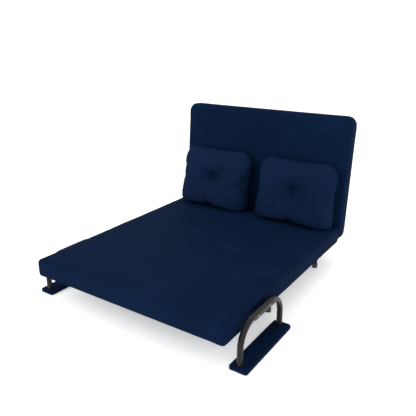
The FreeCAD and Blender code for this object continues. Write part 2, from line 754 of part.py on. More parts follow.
def back_arms():
    """Flat arms under the frame's lowest cross tube, each with an eye on the pivot pin."""
    x = (ARM_X, ARM_X + ARM_THICKNESS)
    top = BACK_FRAME_UP[0]
    plate = link_plate([(0.0, 0.0, 14.0), (0.0, top - 10, 12.0)], x)
    plate = plate.cut(box((x[0] - 1, x[1] + 1), (-20, 20), (top, top + 20)))
    hole = cross_rod((x[0] - 1, x[1] + 1), 0, 0, RECLINE_PIN_RADIUS + RUNNING_GAP)
    pin_hole = cross_rod((x[0] - 1, x[1] + 1), PAWL_PIN[0], PAWL_PIN[1], PAWL_PIN_RADIUS)
    return both_sides(cut(plate, hole, pin_hole))


def ratchet_pawls():
    """Pawls in the plane of the notched discs, lifted just clear of the rim."""
    x = (RATCHET_X, RATCHET_X + RATCHET_THICKNESS)
    nose = RATCHET_RADIUS + PAWL_GAP + PAWL_NOSE
    plate = link_plate([(0.0, nose, PAWL_NOSE), (PAWL_PIN[0], PAWL_PIN[1], 6.0)], x)
    loose = PAWL_PIN_RADIUS + RUNNING_GAP
    return both_sides(plate.cut(cross_rod((x[0] - 1, x[1] + 1), PAWL_PIN[0], PAWL_PIN[1], loose)))


def pawl_pins():
    """Pins that hold the pawls on the arms, with a head on the pawl's side."""
    y, z = PAWL_PIN
    head_x = (RATCHET_X - 1.5, RATCHET_X)
    shank = cross_rod((head_x[0], ARM_X + ARM_THICKNESS), y, z, PAWL_PIN_RADIUS)
    return both_sides(joined([shank, cross_rod(head_x, y, z, PAWL_PIN_RADIUS + 1.5)]))


def pawl_springs():
    """Thin curved leaf springs that press the pawls towards the discs."""
    x = (RATCHET_X + 0.5, RATCHET_X + RATCHET_THICKNESS - 0.5)
    inner, outer = SPRING_RADII
    ring = cross_rod(x, *SPRING_CENTRE, outer).cut(cross_rod(x, *SPRING_CENTRE, inner))
    return both_sides(ring.common(box(x, (4.0, 17.0), (44.0, BACK_FRAME_UP[0]))))


def back_outline():
    """The whole backrest: a slab with a half-round lower end and rounded upper corners."""
    half = PAD_THICKNESS / 2
    slab = box((-HALF_WIDTH, HALF_WIDTH), (-half, half), (0, BACK_HEIGHT))
    corners = softened(
        slab,
        BACK_CORNER_RADIUS,
        lambda edge, middle: abs(edge.tangentAt(edge.FirstParameter).y) > 0.9 and middle.z > 1,
    )
    rounded = softened(
        corners,
        PAD_EDGE_RADIUS,
        lambda edge, middle: abs(abs(middle.y) - half) < 0.1 and middle.z > 1,
    )
    return joined([rounded, cross_rod((-HALF_WIDTH, HALF_WIDTH), 0, 0, half)])


def back_pads(outside, webbing):
    """Front and rear foam halves, pressed round the frame and webbing."""
    slots = both_sides(
        cross_rod(SLOT_X, 0, 0, SLOT_RADIUS), box(SLOT_X, (-16, 20), (0, BACK_FRAME_UP[0]))
    )
    whole = cut(back_outline(), outside, webbing, slots)
    wide = (-HALF_WIDTH - 1, HALF_WIDTH + 1)
    tall = (-PAD_THICKNESS, BACK_HEIGHT + 1)
    front = whole.common(box(wide, (-PAD_THICKNESS, 0), tall))
    rear = whole.common(box(wide, (0, PAD_THICKNESS), tall))
    return front, rear


def head_leg_brackets():
    """Forked brackets on the rear of the backrest, each with two ears either side of the leg."""
    rear = PAD_THICKNESS / 2
    inner = HEAD_LEG_RADIUS + EAR_GAP
    outer = inner + EAR_THICKNESS
    low = HEAD_LEG_UP - 14
    high = HEAD_LEG_UP + 14
    parts = [box((HEAD_LEG_X - outer, HEAD_LEG_X + outer), (rear, rear + 3), (low - 8, high + 8))]
    for x in ((HEAD_LEG_X - outer, HEAD_LEG_X - inner), (HEAD_LEG_X + inner, HEAD_LEG_X + outer)):
        ear = link_plate([(HEAD_LEG_OUT, HEAD_LEG_UP, 9.0), (rear + 10, HEAD_LEG_UP, 14.0)], x)
        parts.append(ear.common(box((x[0] - 1, x[1] + 1), (rear, HEAD_LEG_OUT + 10), (low, high))))
    bracket = joined(parts)
    hole = cross_rod(
        (HEAD_LEG_X - 30, HEAD_LEG_X + 30), HEAD_LEG_OUT, HEAD_LEG_UP, HEAD_PIN_RADIUS
    )
    return both_sides(bracket.cut(hole))


def head_leg_pins():
    """Pins that the fold-down support leg turns on."""
    reach = HEAD_LEG_RADIUS + EAR_GAP + EAR_THICKNESS
    return both_sides(headed_pin(
        (HEAD_LEG_X - reach, HEAD_LEG_X + reach), HEAD_LEG_OUT, HEAD_LEG_UP,
        HEAD_PIN_RADIUS, RIVET_HEAD_RADIUS,
    ))


def back_body():
    """Every piece that leans with the backrest."""
    outside = joined(back_bars(BAR / 2, 0))
    frame = outside.cut(joined(back_bars(BAR / 2 - BAR_WALL, BAR / 2)))
    webbing = back_webbing()
    front, rear = back_pads(outside, webbing)
    upright = {
        "back_pad_front": front,
        "back_pad_rear": rear,
        "back_frame": frame,
        "back_webbing": webbing,
        "recline_arms": back_arms(),
        "ratchet_pawls": ratchet_pawls(),
        "pawl_pins": pawl_pins(),
        "pawl_springs": pawl_springs(),
        "head_leg_brackets": head_leg_brackets(),
        "head_leg_pins": head_leg_pins(),
    }
    return {name: leaned(shape) for name, shape in upright.items()}


# ---------------------------------------------------------------- support leg body

def head_leg_pivot():
    """Where the leg's pivot is when the backrest stands at its rest lean."""
    lean = math.radians(LEAN)
    y = RECLINE_Y + HEAD_LEG_UP * math.sin(lean) + HEAD_LEG_OUT * math.cos(lean)
    z = RECLINE_Z + HEAD_LEG_UP * math.cos(lean) - HEAD_LEG_OUT * math.sin(lean)
    return y, z


def head_leg_body():
    """A U of tube hanging from the backrest, as long as its pivot is high when the bed is flat."""
    y, z = head_leg_pivot()
    flat_height = RECLINE_Z - HEAD_LEG_OUT
    bottom = z - flat_height + HEAD_LEG_FLOOR_GAP + HEAD_LEG_RADIUS
    top = z + HEAD_LEG_RADIUS
    points = [
        V(-HEAD_LEG_X, y, top),
        V(-HEAD_LEG_X, y, bottom),
        V(HEAD_LEG_X, y, bottom),
        V(HEAD_LEG_X, y, top),
    ]
    tube = bent_tube(points, HEAD_LEG_BEND, HEAD_LEG_RADIUS, TUBE_WALL)
    pin_line = cross_rod((-HEAD_LEG_X - 20, HEAD_LEG_X + 20), y, z, HEAD_PIN_RADIUS + RUNNING_GAP)
    return {"head_leg_tube": tube.cut(pin_line)}


# ---------------------------------------------------------------- pillow bodies

def pillow(side):
    """A filled pillow with a dimple for its tuft button."""
    rear = -PAD_THICKNESS / 2 - PILLOW_GAP
    front = rear - PILLOW_THICKNESS
    x = side * PILLOW_X
    block = box(
        (x - PILLOW_HALF_WIDTH, x + PILLOW_HALF_WIDTH),
        (front, rear),
        (PILLOW_BASE, PILLOW_BASE + PILLOW_HEIGHT),
    )
    block = softened(block, PILLOW_EDGE_RADIUS)
    dimple_centre = V(x, front - 6, PILLOW_BASE + TUFT_HEIGHT)
    return leaned(block.cut(Part.makeSphere(TUFT_RADIUS, dimple_centre)))


def pillow_button(side):
    """A covered button lying at the bottom of the dimple."""
    front = -PAD_THICKNESS / 2 - PILLOW_GAP - PILLOW_THICKNESS
    x = side * PILLOW_X
    up = PILLOW_BASE + TUFT_HEIGHT
    floor = front - 6 + math.sqrt(TUFT_RADIUS**2 - BUTTON_RADIUS**2)
    disc = rod(V(x, floor - 6, up), V(x, floor, up), BUTTON_RADIUS)
    return leaned(softened(disc, 2.0, lambda edge, middle: middle.y < floor - 3))


def pillow_bodies():
    """The two pillows and their buttons."""
    return {
        "pillow_left": pillow(-1),
        "pillow_right": pillow(1),
        "pillow_button_left": pillow_button(-1),
        "pillow_button_right": pillow_button(1),
    }


# ---------------------------------------------------------------- whole object

def all_nodes():
    """Every sub-part by name, in the finished frame."""
    nodes = {}
    for body in (base_body, front_body, back_body, head_leg_body, pillow_bodies):
        nodes.update(body())
    for shape in nodes.values():
        shape.translate(V(0, -ORIGIN_Y, 0))
    return nodes


def main():
    """Write every named piece as its own STEP file."""
    os.makedirs("parts", exist_ok=True)
    for name, shape in all_nodes().items():
        shape.exportStep("parts/" + name + ".step")


main()
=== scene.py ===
import math
import bmesh
import bpy
import numpy as np
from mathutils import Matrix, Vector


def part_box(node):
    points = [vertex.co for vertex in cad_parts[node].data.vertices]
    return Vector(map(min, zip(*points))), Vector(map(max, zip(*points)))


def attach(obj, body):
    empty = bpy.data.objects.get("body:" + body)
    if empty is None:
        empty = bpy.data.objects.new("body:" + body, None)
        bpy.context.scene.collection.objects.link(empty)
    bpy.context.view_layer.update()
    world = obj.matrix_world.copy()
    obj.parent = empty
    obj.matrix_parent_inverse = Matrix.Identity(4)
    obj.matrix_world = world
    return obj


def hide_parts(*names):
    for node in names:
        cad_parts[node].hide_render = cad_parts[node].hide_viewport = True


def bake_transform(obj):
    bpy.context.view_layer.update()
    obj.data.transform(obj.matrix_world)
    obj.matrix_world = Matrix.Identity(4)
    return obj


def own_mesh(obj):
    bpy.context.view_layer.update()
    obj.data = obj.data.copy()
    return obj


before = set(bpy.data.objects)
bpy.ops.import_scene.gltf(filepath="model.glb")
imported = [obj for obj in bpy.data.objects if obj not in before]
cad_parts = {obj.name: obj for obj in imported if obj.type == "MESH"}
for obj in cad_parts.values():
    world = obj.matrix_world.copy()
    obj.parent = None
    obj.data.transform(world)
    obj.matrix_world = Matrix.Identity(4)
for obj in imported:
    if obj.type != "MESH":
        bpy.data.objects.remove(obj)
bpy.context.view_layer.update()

# Fold-out sofa bed: the looks. Metres, +Z up, floor at Z = 0, front of the bed towards -Y.

# Seat sections
PAD_HALF_WIDTH = 0.512
PAD_LOW = 0.1203
PAD_HIGH = 0.215
PAD_CORNER = 0.0145
PAD_UPPER_EDGE = 0.014
PAD_LOWER_EDGE = 0.011
SEAT_FRONT = -0.6632
FRONT_SEAM = -0.0797
MIDDLE_SEAM = -0.0787
MIDDLE_REAR = 0.5010
SEAM_OVERRUN = 0.016      # how far the round edge is carried past the seam before it is cut flat
SEAM_RISE = 0.0135        # height of the sewn seam above the underside
COVER_GAP = 0.0013        # room for the black cover below the middle section

# Fold line between the front and middle sections
FOLD_Y = -0.07918

# Backrest, which leans back about its pivot
PIVOT = np.array([0.0, 0.54932, 0.164])
LEAN = math.radians(4.64)
UP_THE_BACK = np.array([0.0, math.sin(LEAN), math.cos(LEAN)])
OUT_OF_THE_BACK = np.array([0.0, -math.cos(LEAN), math.sin(LEAN)])
BACK_HALF_WIDTH = 0.5135
BACK_TOP = 0.627
BACK_END_RADIUS = 0.0476
BACK_FACE = 0.0480        # front face, from the middle plane
BACK_REAR = 0.0452        # rear face, from the middle plane
BACK_CORNER = 0.050
BACK_EDGE = 0.016
BACK_SEAM_RISE = 0.0165   # place of the sewn seam in front of the rear face

# Pillows
PILLOW_X = (-0.250, 0.262)    # left, right
PILLOW_HALF_WIDTH = 0.227
PILLOW_HEIGHT = 0.330
PILLOW_THICKNESS = 0.132
PILLOW_BASE = 0.0487      # along the backrest from its pivot
PILLOW_WEDGE = 0.26       # share of its thickness that is added below and taken off above
TUFT_HEIGHT = 0.172       # above the pillow's own base
ENVELOPE_WIDTH = 0.472
ENVELOPE_HEIGHT = 0.354
ENVELOPE_CORNERS = (0.085, 0.085, 0.048, 0.048)
ENVELOPE_BELLY = 0.044

# Armrest boards
BOARD_MIDDLE = (0.538, -0.4172)
BOARD_HALF = (0.0405, 0.1940)
BOARD_THICKNESS = 0.018
BOARD_CORNER = 0.012
ARM_LEGS_Y = (-0.58818, -0.25818)
ARM_LEG_X = 0.536
TUBE_RADIUS = 0.0125


# ------------------------------------------------------------------ meshes

def mesh_of(name, points, quads, together):
    """A mesh from points and four-sided faces. Points that fall together, as at a pole, become
    one, and faces point outwards."""
    mesh = bpy.data.meshes.new(name)
    mesh.from_pydata(points.reshape(-1, 3), [], quads.reshape(-1, 4))
    work = bmesh.new()
    work.from_mesh(mesh)
    bmesh.ops.remove_doubles(work, verts=work.verts, dist=together)
    bmesh.ops.recalc_face_normals(work, faces=work.faces)
    work.to_mesh(mesh)
    work.free()
    return mesh


def mesh_from_grid(name, points, wrap_rows=False, wrap_columns=False):
    """A mesh through a grid of points, row by row. A wrapped direction joins its last line to
    its first."""
    rows, columns = points.shape[:2]
    index = np.arange(rows * columns).reshape(rows, columns)
    if wrap_rows:
        index = np.vstack([index, index[:1]])
    if wrap_columns:
        index = np.hstack([index, index[:, :1]])
    quads = np.stack([index[:-1, :-1], index[1:, :-1], index[1:, 1:], index[:-1, 1:]], axis=-1)
    return mesh_of(name, points, quads, 1e-6)


def mesh_from_rings(name, points):
    """One mesh of many equal closed forms, each a stack of rings that ends in two points."""
    copies, rows, columns = points.shape[:3]
    index = np.arange(copies * rows * columns).reshape(copies, rows, columns)
    around = np.concatenate([index, index[:, :, :1]], axis=2)
    quads = np.stack([
        around[:, :-1, :-1], around[:, 1:, :-1], around[:, 1:, 1:], around[:, :-1, 1:]], axis=-1)
    return mesh_of(name, points, quads, 1e-7)


def piece(name, mesh, material):
    """An object at the world origin that shows the mesh in one material."""
    made = bpy.data.objects.new(name, mesh)
    bpy.context.scene.collection.objects.link(made)
    mesh.materials.clear()
    mesh.materials.append(material)
    mesh.polygons.foreach_set("use_smooth", np.ones(len(mesh.polygons), dtype=bool))
    return made


def points_of(mesh):
    """All vertices of a mesh as an array of rows."""
    flat = np.empty(len(mesh.vertices) * 3)
    mesh.vertices.foreach_get("co", flat)
    return flat.reshape(-1, 3)


def set_points(mesh, points):
    """Moves all vertices of a mesh to the rows of an array."""
    mesh.vertices.foreach_set("co", points.ravel())
    mesh.update()


def subdivided(made):
    """Gives a piece one smooth subdivision, the same in every view."""
    smooth = made.modifiers.new("smooth", "SUBSURF")
    smooth.levels = 1
    smooth.render_levels = 1


def outline(half_x, half_y, corner, step):
    """Goes once round a rectangle whose corners have one radius, or four of their own. Gives
    every point's centre of curvature, its unit direction outwards and its radius, so that a
    point drawn in by d from the edge is centre + (radius - d) * direction."""
    corners = np.broadcast_to(np.array(corner, float), 4)
    signs = np.array([[1, 1], [-1, 1], [-1, -1], [1, -1]])
    turn = np.linspace(0, math.pi / 2, 8)
    centres = []
    angles = []
    radii = []
    for k in range(4):
        following = (k + 1) % 4
        here = signs[k] * (np.array([half_x, half_y]) - corners[k])
        there = signs[following] * (np.array([half_x, half_y]) - corners[following])
        count = max(2, int(np.abs(there - here).sum() / step))
        share = np.linspace(0, 1, count + 1)[1:-1]
        centres += [np.repeat(here[None], 8, axis=0), here + share[:, None] * (there - here)]
        angles += [turn + k * math.pi / 2, np.full(count - 1, (k + 1) * math.pi / 2)]
        radii += [np.full(8, corners[k]), corners[k] + share * (corners[following] - corners[k])]
    angle = np.concatenate(angles)
    outward = np.stack([np.cos(angle), np.sin(angle)], axis=-1)
    return np.concatenate(centres), outward, np.concatenate(radii)


def slab_surface(half_x, half_y, half_z, corner, upper_edge, lower_edge, step, rings=2):
    """A flat slab with soft edges. Columns go round the outline. Rows go from the middle of the
    top face, where the outline is shrunk to a point, over the upper edge's quarter circle, down
    the side, round the lower edge's quarter circle and back to the middle of the underside."""
    centre, outward, radius = outline(half_x, half_y, corner, step)
    turn = np.linspace(math.pi / 2, 0, 7)
    face = np.linspace(0, 1, rings + 1)[:-1]
    flat = np.zeros(rings)
    inset = np.concatenate([
        flat + upper_edge, upper_edge * (1 - np.cos(turn)),
        lower_edge * (1 - np.cos(turn[::-1])), flat + lower_edge])
    height = np.concatenate([
        flat + half_z, half_z - upper_edge * (1 - np.sin(turn)),
        lower_edge * (1 - np.sin(turn[::-1])) - half_z, flat - half_z])
    shrink = np.concatenate([face, np.ones(14), face[::-1]])
    plan = centre[None] + (radius[None] - inset[:, None])[..., None] * outward[None]
    plan = plan * shrink[:, None, None]
    tall = np.broadcast_to(height[:, None, None], plan.shape[:2] + (1,))
    return np.concatenate([plan, tall], axis=-1)


def swept(path, normal, across, closed):
    """Carries a flat profile along a path. The profile's first number goes along the path's
    normal and its second sideways, at right angles to the normal and the path. On an open path
    the profile shrinks to a point at both ends."""
    ahead = np.roll(path, -1, axis=0) - np.roll(path, 1, axis=0)
    size = np.ones(len(path))
    if not closed:
        ahead[0] = path[1] - path[0]
        ahead[-1] = path[-1] - path[-2]
        size[[0, -1]] = 0
        size[[1, -2]] = 0.8
    ahead /= np.linalg.norm(ahead, axis=1, keepdims=True)
    side = np.cross(ahead, normal)
    side /= np.linalg.norm(side, axis=1, keepdims=True)
    out = np.cross(side, ahead)
    profile = across[None] * size[:, None, None]
    return path[:, None] + profile[..., :1] * out[:, None] + profile[..., 1:] * side[:, None]


def ring(radius_out, radius_side, count=10):
    """An oval profile for cords and welts."""
    angle = np.linspace(0, 2 * math.pi, count, endpoint=False)
    return np.stack([radius_out * np.cos(angle), radius_side * np.sin(angle)], axis=-1)


def rest_against(value, limit, softness):
    """Keeps a number above a limit, bending away from it smoothly: soft stuff on a flat face."""
    return limit + softness * np.logaddexp(0, (value - limit) / softness)


def laid_on(path, skin, count=3):
    """Moves each point of a path onto a skin: to the mean of the skin's nearest points."""
    apart = np.linalg.norm(path[:, None] - skin[None], axis=-1)
    near = np.argsort(apart, axis=1)[:, :count]
    return skin[near].mean(axis=1)


def evened(path, width=7, closed=True):
    """Smooths a path with a moving mean. An open path's ends are repeated to fill the mean."""
    half = width // 2
    if closed:
        return sum(np.roll(path, k, axis=0) for k in range(-half, half + 1)) / (2 * half + 1)
    long = np.concatenate([np.repeat(path[:1], half, axis=0), path,
                           np.repeat(path[-1:], half, axis=0)])
    return sum(long[k:k + len(path)] for k in range(2 * half + 1)) / (2 * half + 1)


def stitches(path, normal, length=0.0034, pitch=0.0052, thread=0.00045):
    """A row of short thread humps along a path: each is a small closed spindle whose radius and
    height follow the root of a cosine along its length."""
    steps = np.linalg.norm(np.diff(path, axis=0), axis=1)
    run = np.concatenate([[0], np.cumsum(steps)])
    count = int(run[-1] / pitch)
    at = (np.arange(count) + 0.5) * run[-1] / count
    middle = np.stack([np.interp(at, run, path[:, k]) for k in range(3)], axis=-1)
    up = np.stack([np.interp(at, run, normal[:, k]) for k in range(3)], axis=-1)
    beyond = np.stack([np.interp(at + 0.001, run, path[:, k]) for k in range(3)], axis=-1)
    ahead = beyond - middle
    ahead /= np.linalg.norm(ahead, axis=1, keepdims=True) + 1e-12
    up /= np.linalg.norm(up, axis=1, keepdims=True) + 1e-12
    side = np.cross(ahead, up)
    along = np.linspace(-0.5, 0.5, 5)
    bulge = np.cos(along * math.pi) ** 0.5
    bulge[[0, -1]] = 0
    angle = np.linspace(0, 2 * math.pi, 5, endpoint=False)
    radius = thread * bulge[None, :, None, None]
    lift = thread * 0.6 * bulge[None, :, None, None]
    points = (middle[:, None, None] + ahead[:, None, None] * (along * length)[None, :, None, None]
              + up[:, None, None] * (lift + radius * np.cos(angle)[None, None, :, None])
              + side[:, None, None] * radius * np.sin(angle)[None, None, :, None])
    return mesh_from_rings("thread", points)


# ------------------------------------------------------------------ stuffed pieces

def remeshed(mesh, voxel):
    """The same closed skin made again from even square faces."""
    probe = bpy.data.objects.new("probe", mesh)
    bpy.context.scene.collection.objects.link(probe)
    even = probe.modifiers.new("even", "REMESH")
    even.mode = "VOXEL"
    even.voxel_size = voxel
    graph = bpy.context.evaluated_depsgraph_get()
    graph.update()
    made = bpy.data.meshes.new_from_object(probe.evaluated_get(graph))
    bpy.data.objects.remove(probe)
    return made


def stuffed(name, mesh, pressure, shrink, held=None):
    """An object whose skin is cloth round a filling that presses outwards. held gives how firmly
    each vertex is sewn in place, from 0 to 1."""
    made = bpy.data.objects.new(name, mesh)
    bpy.context.scene.collection.objects.link(made)
    cloth = made.modifiers.new("cloth", "CLOTH")
    cloth.settings.quality = 5
    cloth.settings.mass = 0.2
    cloth.settings.use_pressure = True
    cloth.settings.uniform_pressure_force = pressure
    cloth.settings.effector_weights.gravity = 0
    cloth.settings.shrink_min = shrink
    cloth.settings.tension_stiffness = 25
    cloth.settings.compression_stiffness = 18
    cloth.settings.shear_stiffness = 8
    cloth.settings.bending_stiffness = 0.8
    cloth.settings.air_damping = 1
    cloth.collision_settings.use_collision = False
    cloth.point_cache.frame_start = 1
    cloth.point_cache.frame_end = 40
    if held is not None:
        sewn = made.vertex_groups.new(name="sewn")
        for firmness in np.unique(held[held > 0]):
            sewn.add(np.nonzero(held == firmness)[0].tolist(), float(firmness), "REPLACE")
        cloth.settings.vertex_group_mass = "sewn"
        cloth.settings.pin_stiffness = 1.0
    return made


def swell(cloths, frames):
    """Lets all the stuffed objects swell together, and gives each one's vertices at the end."""
    for number in range(1, frames + 1):
        bpy.context.scene.frame_set(number)
    graph = bpy.context.evaluated_depsgraph_get()
    ends = []
    for made in cloths:
        settled = made.evaluated_get(graph).to_mesh()
        ends.append(points_of(settled))
        made.evaluated_get(graph).to_mesh_clear()
        made.modifiers.clear()
        made.vertex_groups.clear()
    bpy.context.scene.frame_set(1)
    return ends


def capped(start, end, cap):
    """Limits how far each vertex has moved, easing off towards the cap."""
    moved = end - start
    far = np.linalg.norm(moved, axis=1, keepdims=True) + 1e-9
    return start + moved / far * cap * np.tanh(far / cap)


def brought_to(points, low, high):
    """Stretches a skin along each axis so that its box is the given one."""
    least, most = points.min(axis=0), points.max(axis=0)
    return np.array(low) + (points - least) * (np.array(high) - low) / (most - least)


def lapped(points, scale, seed):
    """Slow unevenness over a skin: a sum of waves with random directions, from -1 to 1."""
    chance = np.random.default_rng(seed)
    way = chance.normal(size=(9, 3))
    way /= np.linalg.norm(way, axis=1, keepdims=True)
    turns = way * chance.uniform(0.6, 1.7, size=(9, 1)) * 2 * math.pi / scale
    shift = chance.uniform(0, 2 * math.pi, size=9)
    return np.sin(points @ turns.T + shift).mean(axis=1)


# ------------------------------------------------------------------ materials

def node(tree, kind, inputs=(), **settings):
    """Adds a shader node, with its settings and its inputs: other nodes' sockets or values."""
    made = tree.nodes.new("ShaderNode" + kind)
    for key, value in settings.items():
        setattr(made, key, value)
    for key, value in dict(inputs).items():
        if isinstance(value, bpy.types.NodeSocket):
            tree.links.new(value, made.inputs[key])
        else:
            made.inputs[key].default_value = value
    return made


def calc(tree, operation, first, second=0.0, third=0.0):
    """The result of one Math node."""
    return node(tree, "Math", {0: first, 1: second, 2: third}, operation=operation).outputs[0]


def blend_colours(tree, factor, first, second, mode="MIX"):
    """One colour laid over another by a factor."""
    made = node(tree, "Mix", {0: factor, 6: first, 7: second}, data_type="RGBA", blend_type=mode)
    return made.outputs[2]


def new_group(name, inputs, outputs):
    """An empty shader node group with named inputs {name: (kind, value)} and outputs."""
    tree = bpy.data.node_groups.new(name, "ShaderNodeTree")
    for key, (kind, value) in inputs.items():
        made = tree.interface.new_socket(key, in_out="INPUT", socket_type="NodeSocket" + kind)
        made.default_value = value
    for key, kind in outputs.items():
        tree.interface.new_socket(key, in_out="OUTPUT", socket_type="NodeSocket" + kind)
    return tree, tree.nodes.new("NodeGroupInput").outputs, tree.nodes.new("NodeGroupOutput").inputs


def woven_group():
    """Plain weave. Each pair of axes gives the product of two sines, which is the over and under
    of the yarns, and the pair that faces outwards is chosen by the surface's direction. Two
    noises thicken yarns here and there and shade the cloth in large soft areas."""
    tree, given, result = new_group(
        "woven_cloth",
        {"Colour": ("Color", (0.01, 0.02, 0.06, 1)), "Yarn": ("Float", 0.0016),
         "Slub": ("Float", 0.5), "Shading": ("Float", 0.12), "Roughness": ("Float", 0.8)},
        {"Colour": "Color", "Roughness": "Float", "Height": "Float"})
    place = node(tree, "TexCoord")
    turns = calc(tree, "DIVIDE", 2 * math.pi, given["Yarn"])
    spun = node(tree, "VectorMath", {0: place.outputs["Object"], 3: turns}, operation="SCALE")
    parts = node(tree, "SeparateXYZ", {0: spun.outputs[0]}).outputs
    facing = node(tree, "SeparateXYZ", {0: place.outputs["Normal"]}).outputs
    waves = [calc(tree, "SINE", part) for part in parts]
    share = [calc(tree, "POWER", calc(tree, "ABSOLUTE", way), 4.0) for way in facing]
    yarns = [calc(tree, "MULTIPLY", waves[k - 2], waves[k - 1]) for k in range(3)]
    cloth = calc(tree, "MULTIPLY", share[0], yarns[0])
    cloth = calc(tree, "MULTIPLY_ADD", share[1], yarns[1], cloth)
    cloth = calc(tree, "MULTIPLY_ADD", share[2], yarns[2], cloth)
    slub = node(tree, "TexNoise", {"Vector": place.outputs["Object"], "Scale": 240.0,
                                   "Detail": 3.0, "Roughness": 0.6}).outputs["Fac"]
    broad = node(tree, "TexNoise", {"Vector": place.outputs["Object"], "Scale": 4.5,
                                    "Detail": 2.0, "Roughness": 0.5}).outputs["Fac"]
    uneven = calc(tree, "MULTIPLY", calc(tree, "SUBTRACT", slub, 0.5), given["Slub"])
    height = calc(tree, "MULTIPLY_ADD", cloth, 0.35, uneven)
    height = calc(tree, "ADD", height, 0.5)
    soft = calc(tree, "MULTIPLY", calc(tree, "SUBTRACT", broad, 0.5), given["Shading"])
    shade = calc(tree, "MULTIPLY_ADD", cloth, 0.10, 1.0)
    shade = calc(tree, "ADD", shade, calc(tree, "MULTIPLY", uneven, 0.5))
    shade = calc(tree, "ADD", shade, calc(tree, "MULTIPLY", soft, 4.0))
    grey = node(tree, "CombineColor", {0: shade, 1: shade, 2: shade}).outputs[0]
    colour = blend_colours(tree, 1.0, given["Colour"], grey, "MULTIPLY")
    rough = calc(tree, "MULTIPLY_ADD", uneven, 0.2, given["Roughness"])
    tree.links.new(colour, result["Colour"])
    tree.links.new(rough, result["Roughness"])
    tree.links.new(height, result["Height"])
    return tree


def coated_group():
    """A coated or plated metal skin. Fine noise is the coat's orange peel, middle noise varies
    the gloss, and where two noises are both high the coat has rubbed through to bare metal."""
    tree, given, result = new_group(
        "coated_metal",
        {"Colour": ("Color", (0.03, 0.03, 0.034, 1)), "Bare": ("Color", (0.35, 0.35, 0.36, 1)),
         "Roughness": ("Float", 0.4), "Metallic": ("Float", 0.0), "Wear": ("Float", 0.3),
         "Peel": ("Float", 700.0)},
        {"Colour": "Color", "Roughness": "Float", "Metallic": "Float", "Height": "Float"})
    place = node(tree, "TexCoord").outputs["Object"]
    peel = node(tree, "TexNoise", {"Vector": place, "Scale": given["Peel"], "Detail": 2.0})
    cloud = node(tree, "TexNoise", {"Vector": place, "Scale": 35.0, "Detail": 4.0})
    scuff = node(tree, "TexNoise", {"Vector": place, "Scale": 160.0, "Detail": 5.0,
                                    "Roughness": 0.7})
    low = calc(tree, "SUBTRACT", 0.86, calc(tree, "MULTIPLY", given["Wear"], 0.25))
    both = calc(tree, "ADD", calc(tree, "MULTIPLY", cloud.outputs["Fac"], 0.7),
                calc(tree, "MULTIPLY", scuff.outputs["Fac"], 0.5))
    rubbed = node(tree, "MapRange", {0: both, 1: low, 2: calc(tree, "ADD", low, 0.05)},
                  interpolation_type="SMOOTHSTEP").outputs[0]
    uneven = calc(tree, "SUBTRACT", cloud.outputs["Fac"], 0.5)
    tone = calc(tree, "MULTIPLY_ADD", uneven, 0.35, 1.0)
    grey = node(tree, "CombineColor", {0: tone, 1: tone, 2: tone}).outputs[0]
    coat = blend_colours(tree, 1.0, given["Colour"], grey, "MULTIPLY")
    rough = calc(tree, "MULTIPLY_ADD", uneven, 0.3, given["Roughness"])
    metal = calc(tree, "MAXIMUM", given["Metallic"], rubbed)
    height = calc(tree, "MULTIPLY_ADD", rubbed, -0.6, peel.outputs["Fac"])
    tree.links.new(blend_colours(tree, rubbed, coat, given["Bare"]), result["Colour"])
    tree.links.new(rough, result["Roughness"])
    tree.links.new(metal, result["Metallic"])
    tree.links.new(height, result["Height"])
    return tree


def moulded_group():
    """Moulded plastic, rubber or pressed felt: a fine pitted skin with soft dusty areas."""
    tree, given, result = new_group(
        "moulded_skin",
        {"Colour": ("Color", (0.02, 0.02, 0.022, 1)), "Dust": ("Float", 0.2),
         "Roughness": ("Float", 0.55), "Pits": ("Float", 900.0)},
        {"Colour": "Color", "Roughness": "Float", "Height": "Float"})
    place = node(tree, "TexCoord").outputs["Object"]
    pits = node(tree, "TexVoronoi", {"Vector": place, "Scale": given["Pits"]})
    cloud = node(tree, "TexNoise", {"Vector": place, "Scale": 22.0, "Detail": 5.0})
    dust = calc(tree, "MULTIPLY", given["Dust"],
                calc(tree, "POWER", cloud.outputs["Fac"], 3.0))
    rough = calc(tree, "MULTIPLY_ADD", dust, 0.8, given["Roughness"])
    tree.links.new(blend_colours(tree, dust, given["Colour"], (0.2, 0.2, 0.2, 1)),
                   result["Colour"])
    tree.links.new(rough, result["Roughness"])
    tree.links.new(pits.outputs["Distance"], result["Height"])
    return tree


def veneer_group():
    """Wood grain along X: noise drawn out along the board makes the streaks, and a wave across
    it, bent by a slow noise, makes the growth lines."""
    tree, given, result = new_group(
        "veneer",
        {"Light": ("Color", (0.56, 0.4, 0.24, 1)), "Dark": ("Color", (0.36, 0.22, 0.11, 1)),
         "Roughness": ("Float", 0.6)},
        {"Colour": "Color", "Roughness": "Float", "Height": "Float"})
    place = node(tree, "TexCoord").outputs["Object"]
    drawn = node(tree, "Mapping", {"Vector": place, "Scale": (3.0, 60.0, 60.0)}).outputs[0]
    streak = node(tree, "TexNoise", {"Vector": drawn, "Scale": 5.0, "Detail": 6.0}).outputs["Fac"]
    lines = node(tree, "TexWave", {"Vector": drawn, "Scale": 0.6, "Distortion": 5.0,
                                   "Detail": 2.0}, bands_direction="Y").outputs["Fac"]
    grain = calc(tree, "MULTIPLY_ADD", lines, 0.35, calc(tree, "MULTIPLY", streak, 0.65))
    tree.links.new(blend_colours(tree, grain, given["Dark"], given["Light"]), result["Colour"])
    tree.links.new(calc(tree, "MULTIPLY_ADD", streak, 0.15, given["Roughness"]),
                   result["Roughness"])
    tree.links.new(grain, result["Height"])
    return tree


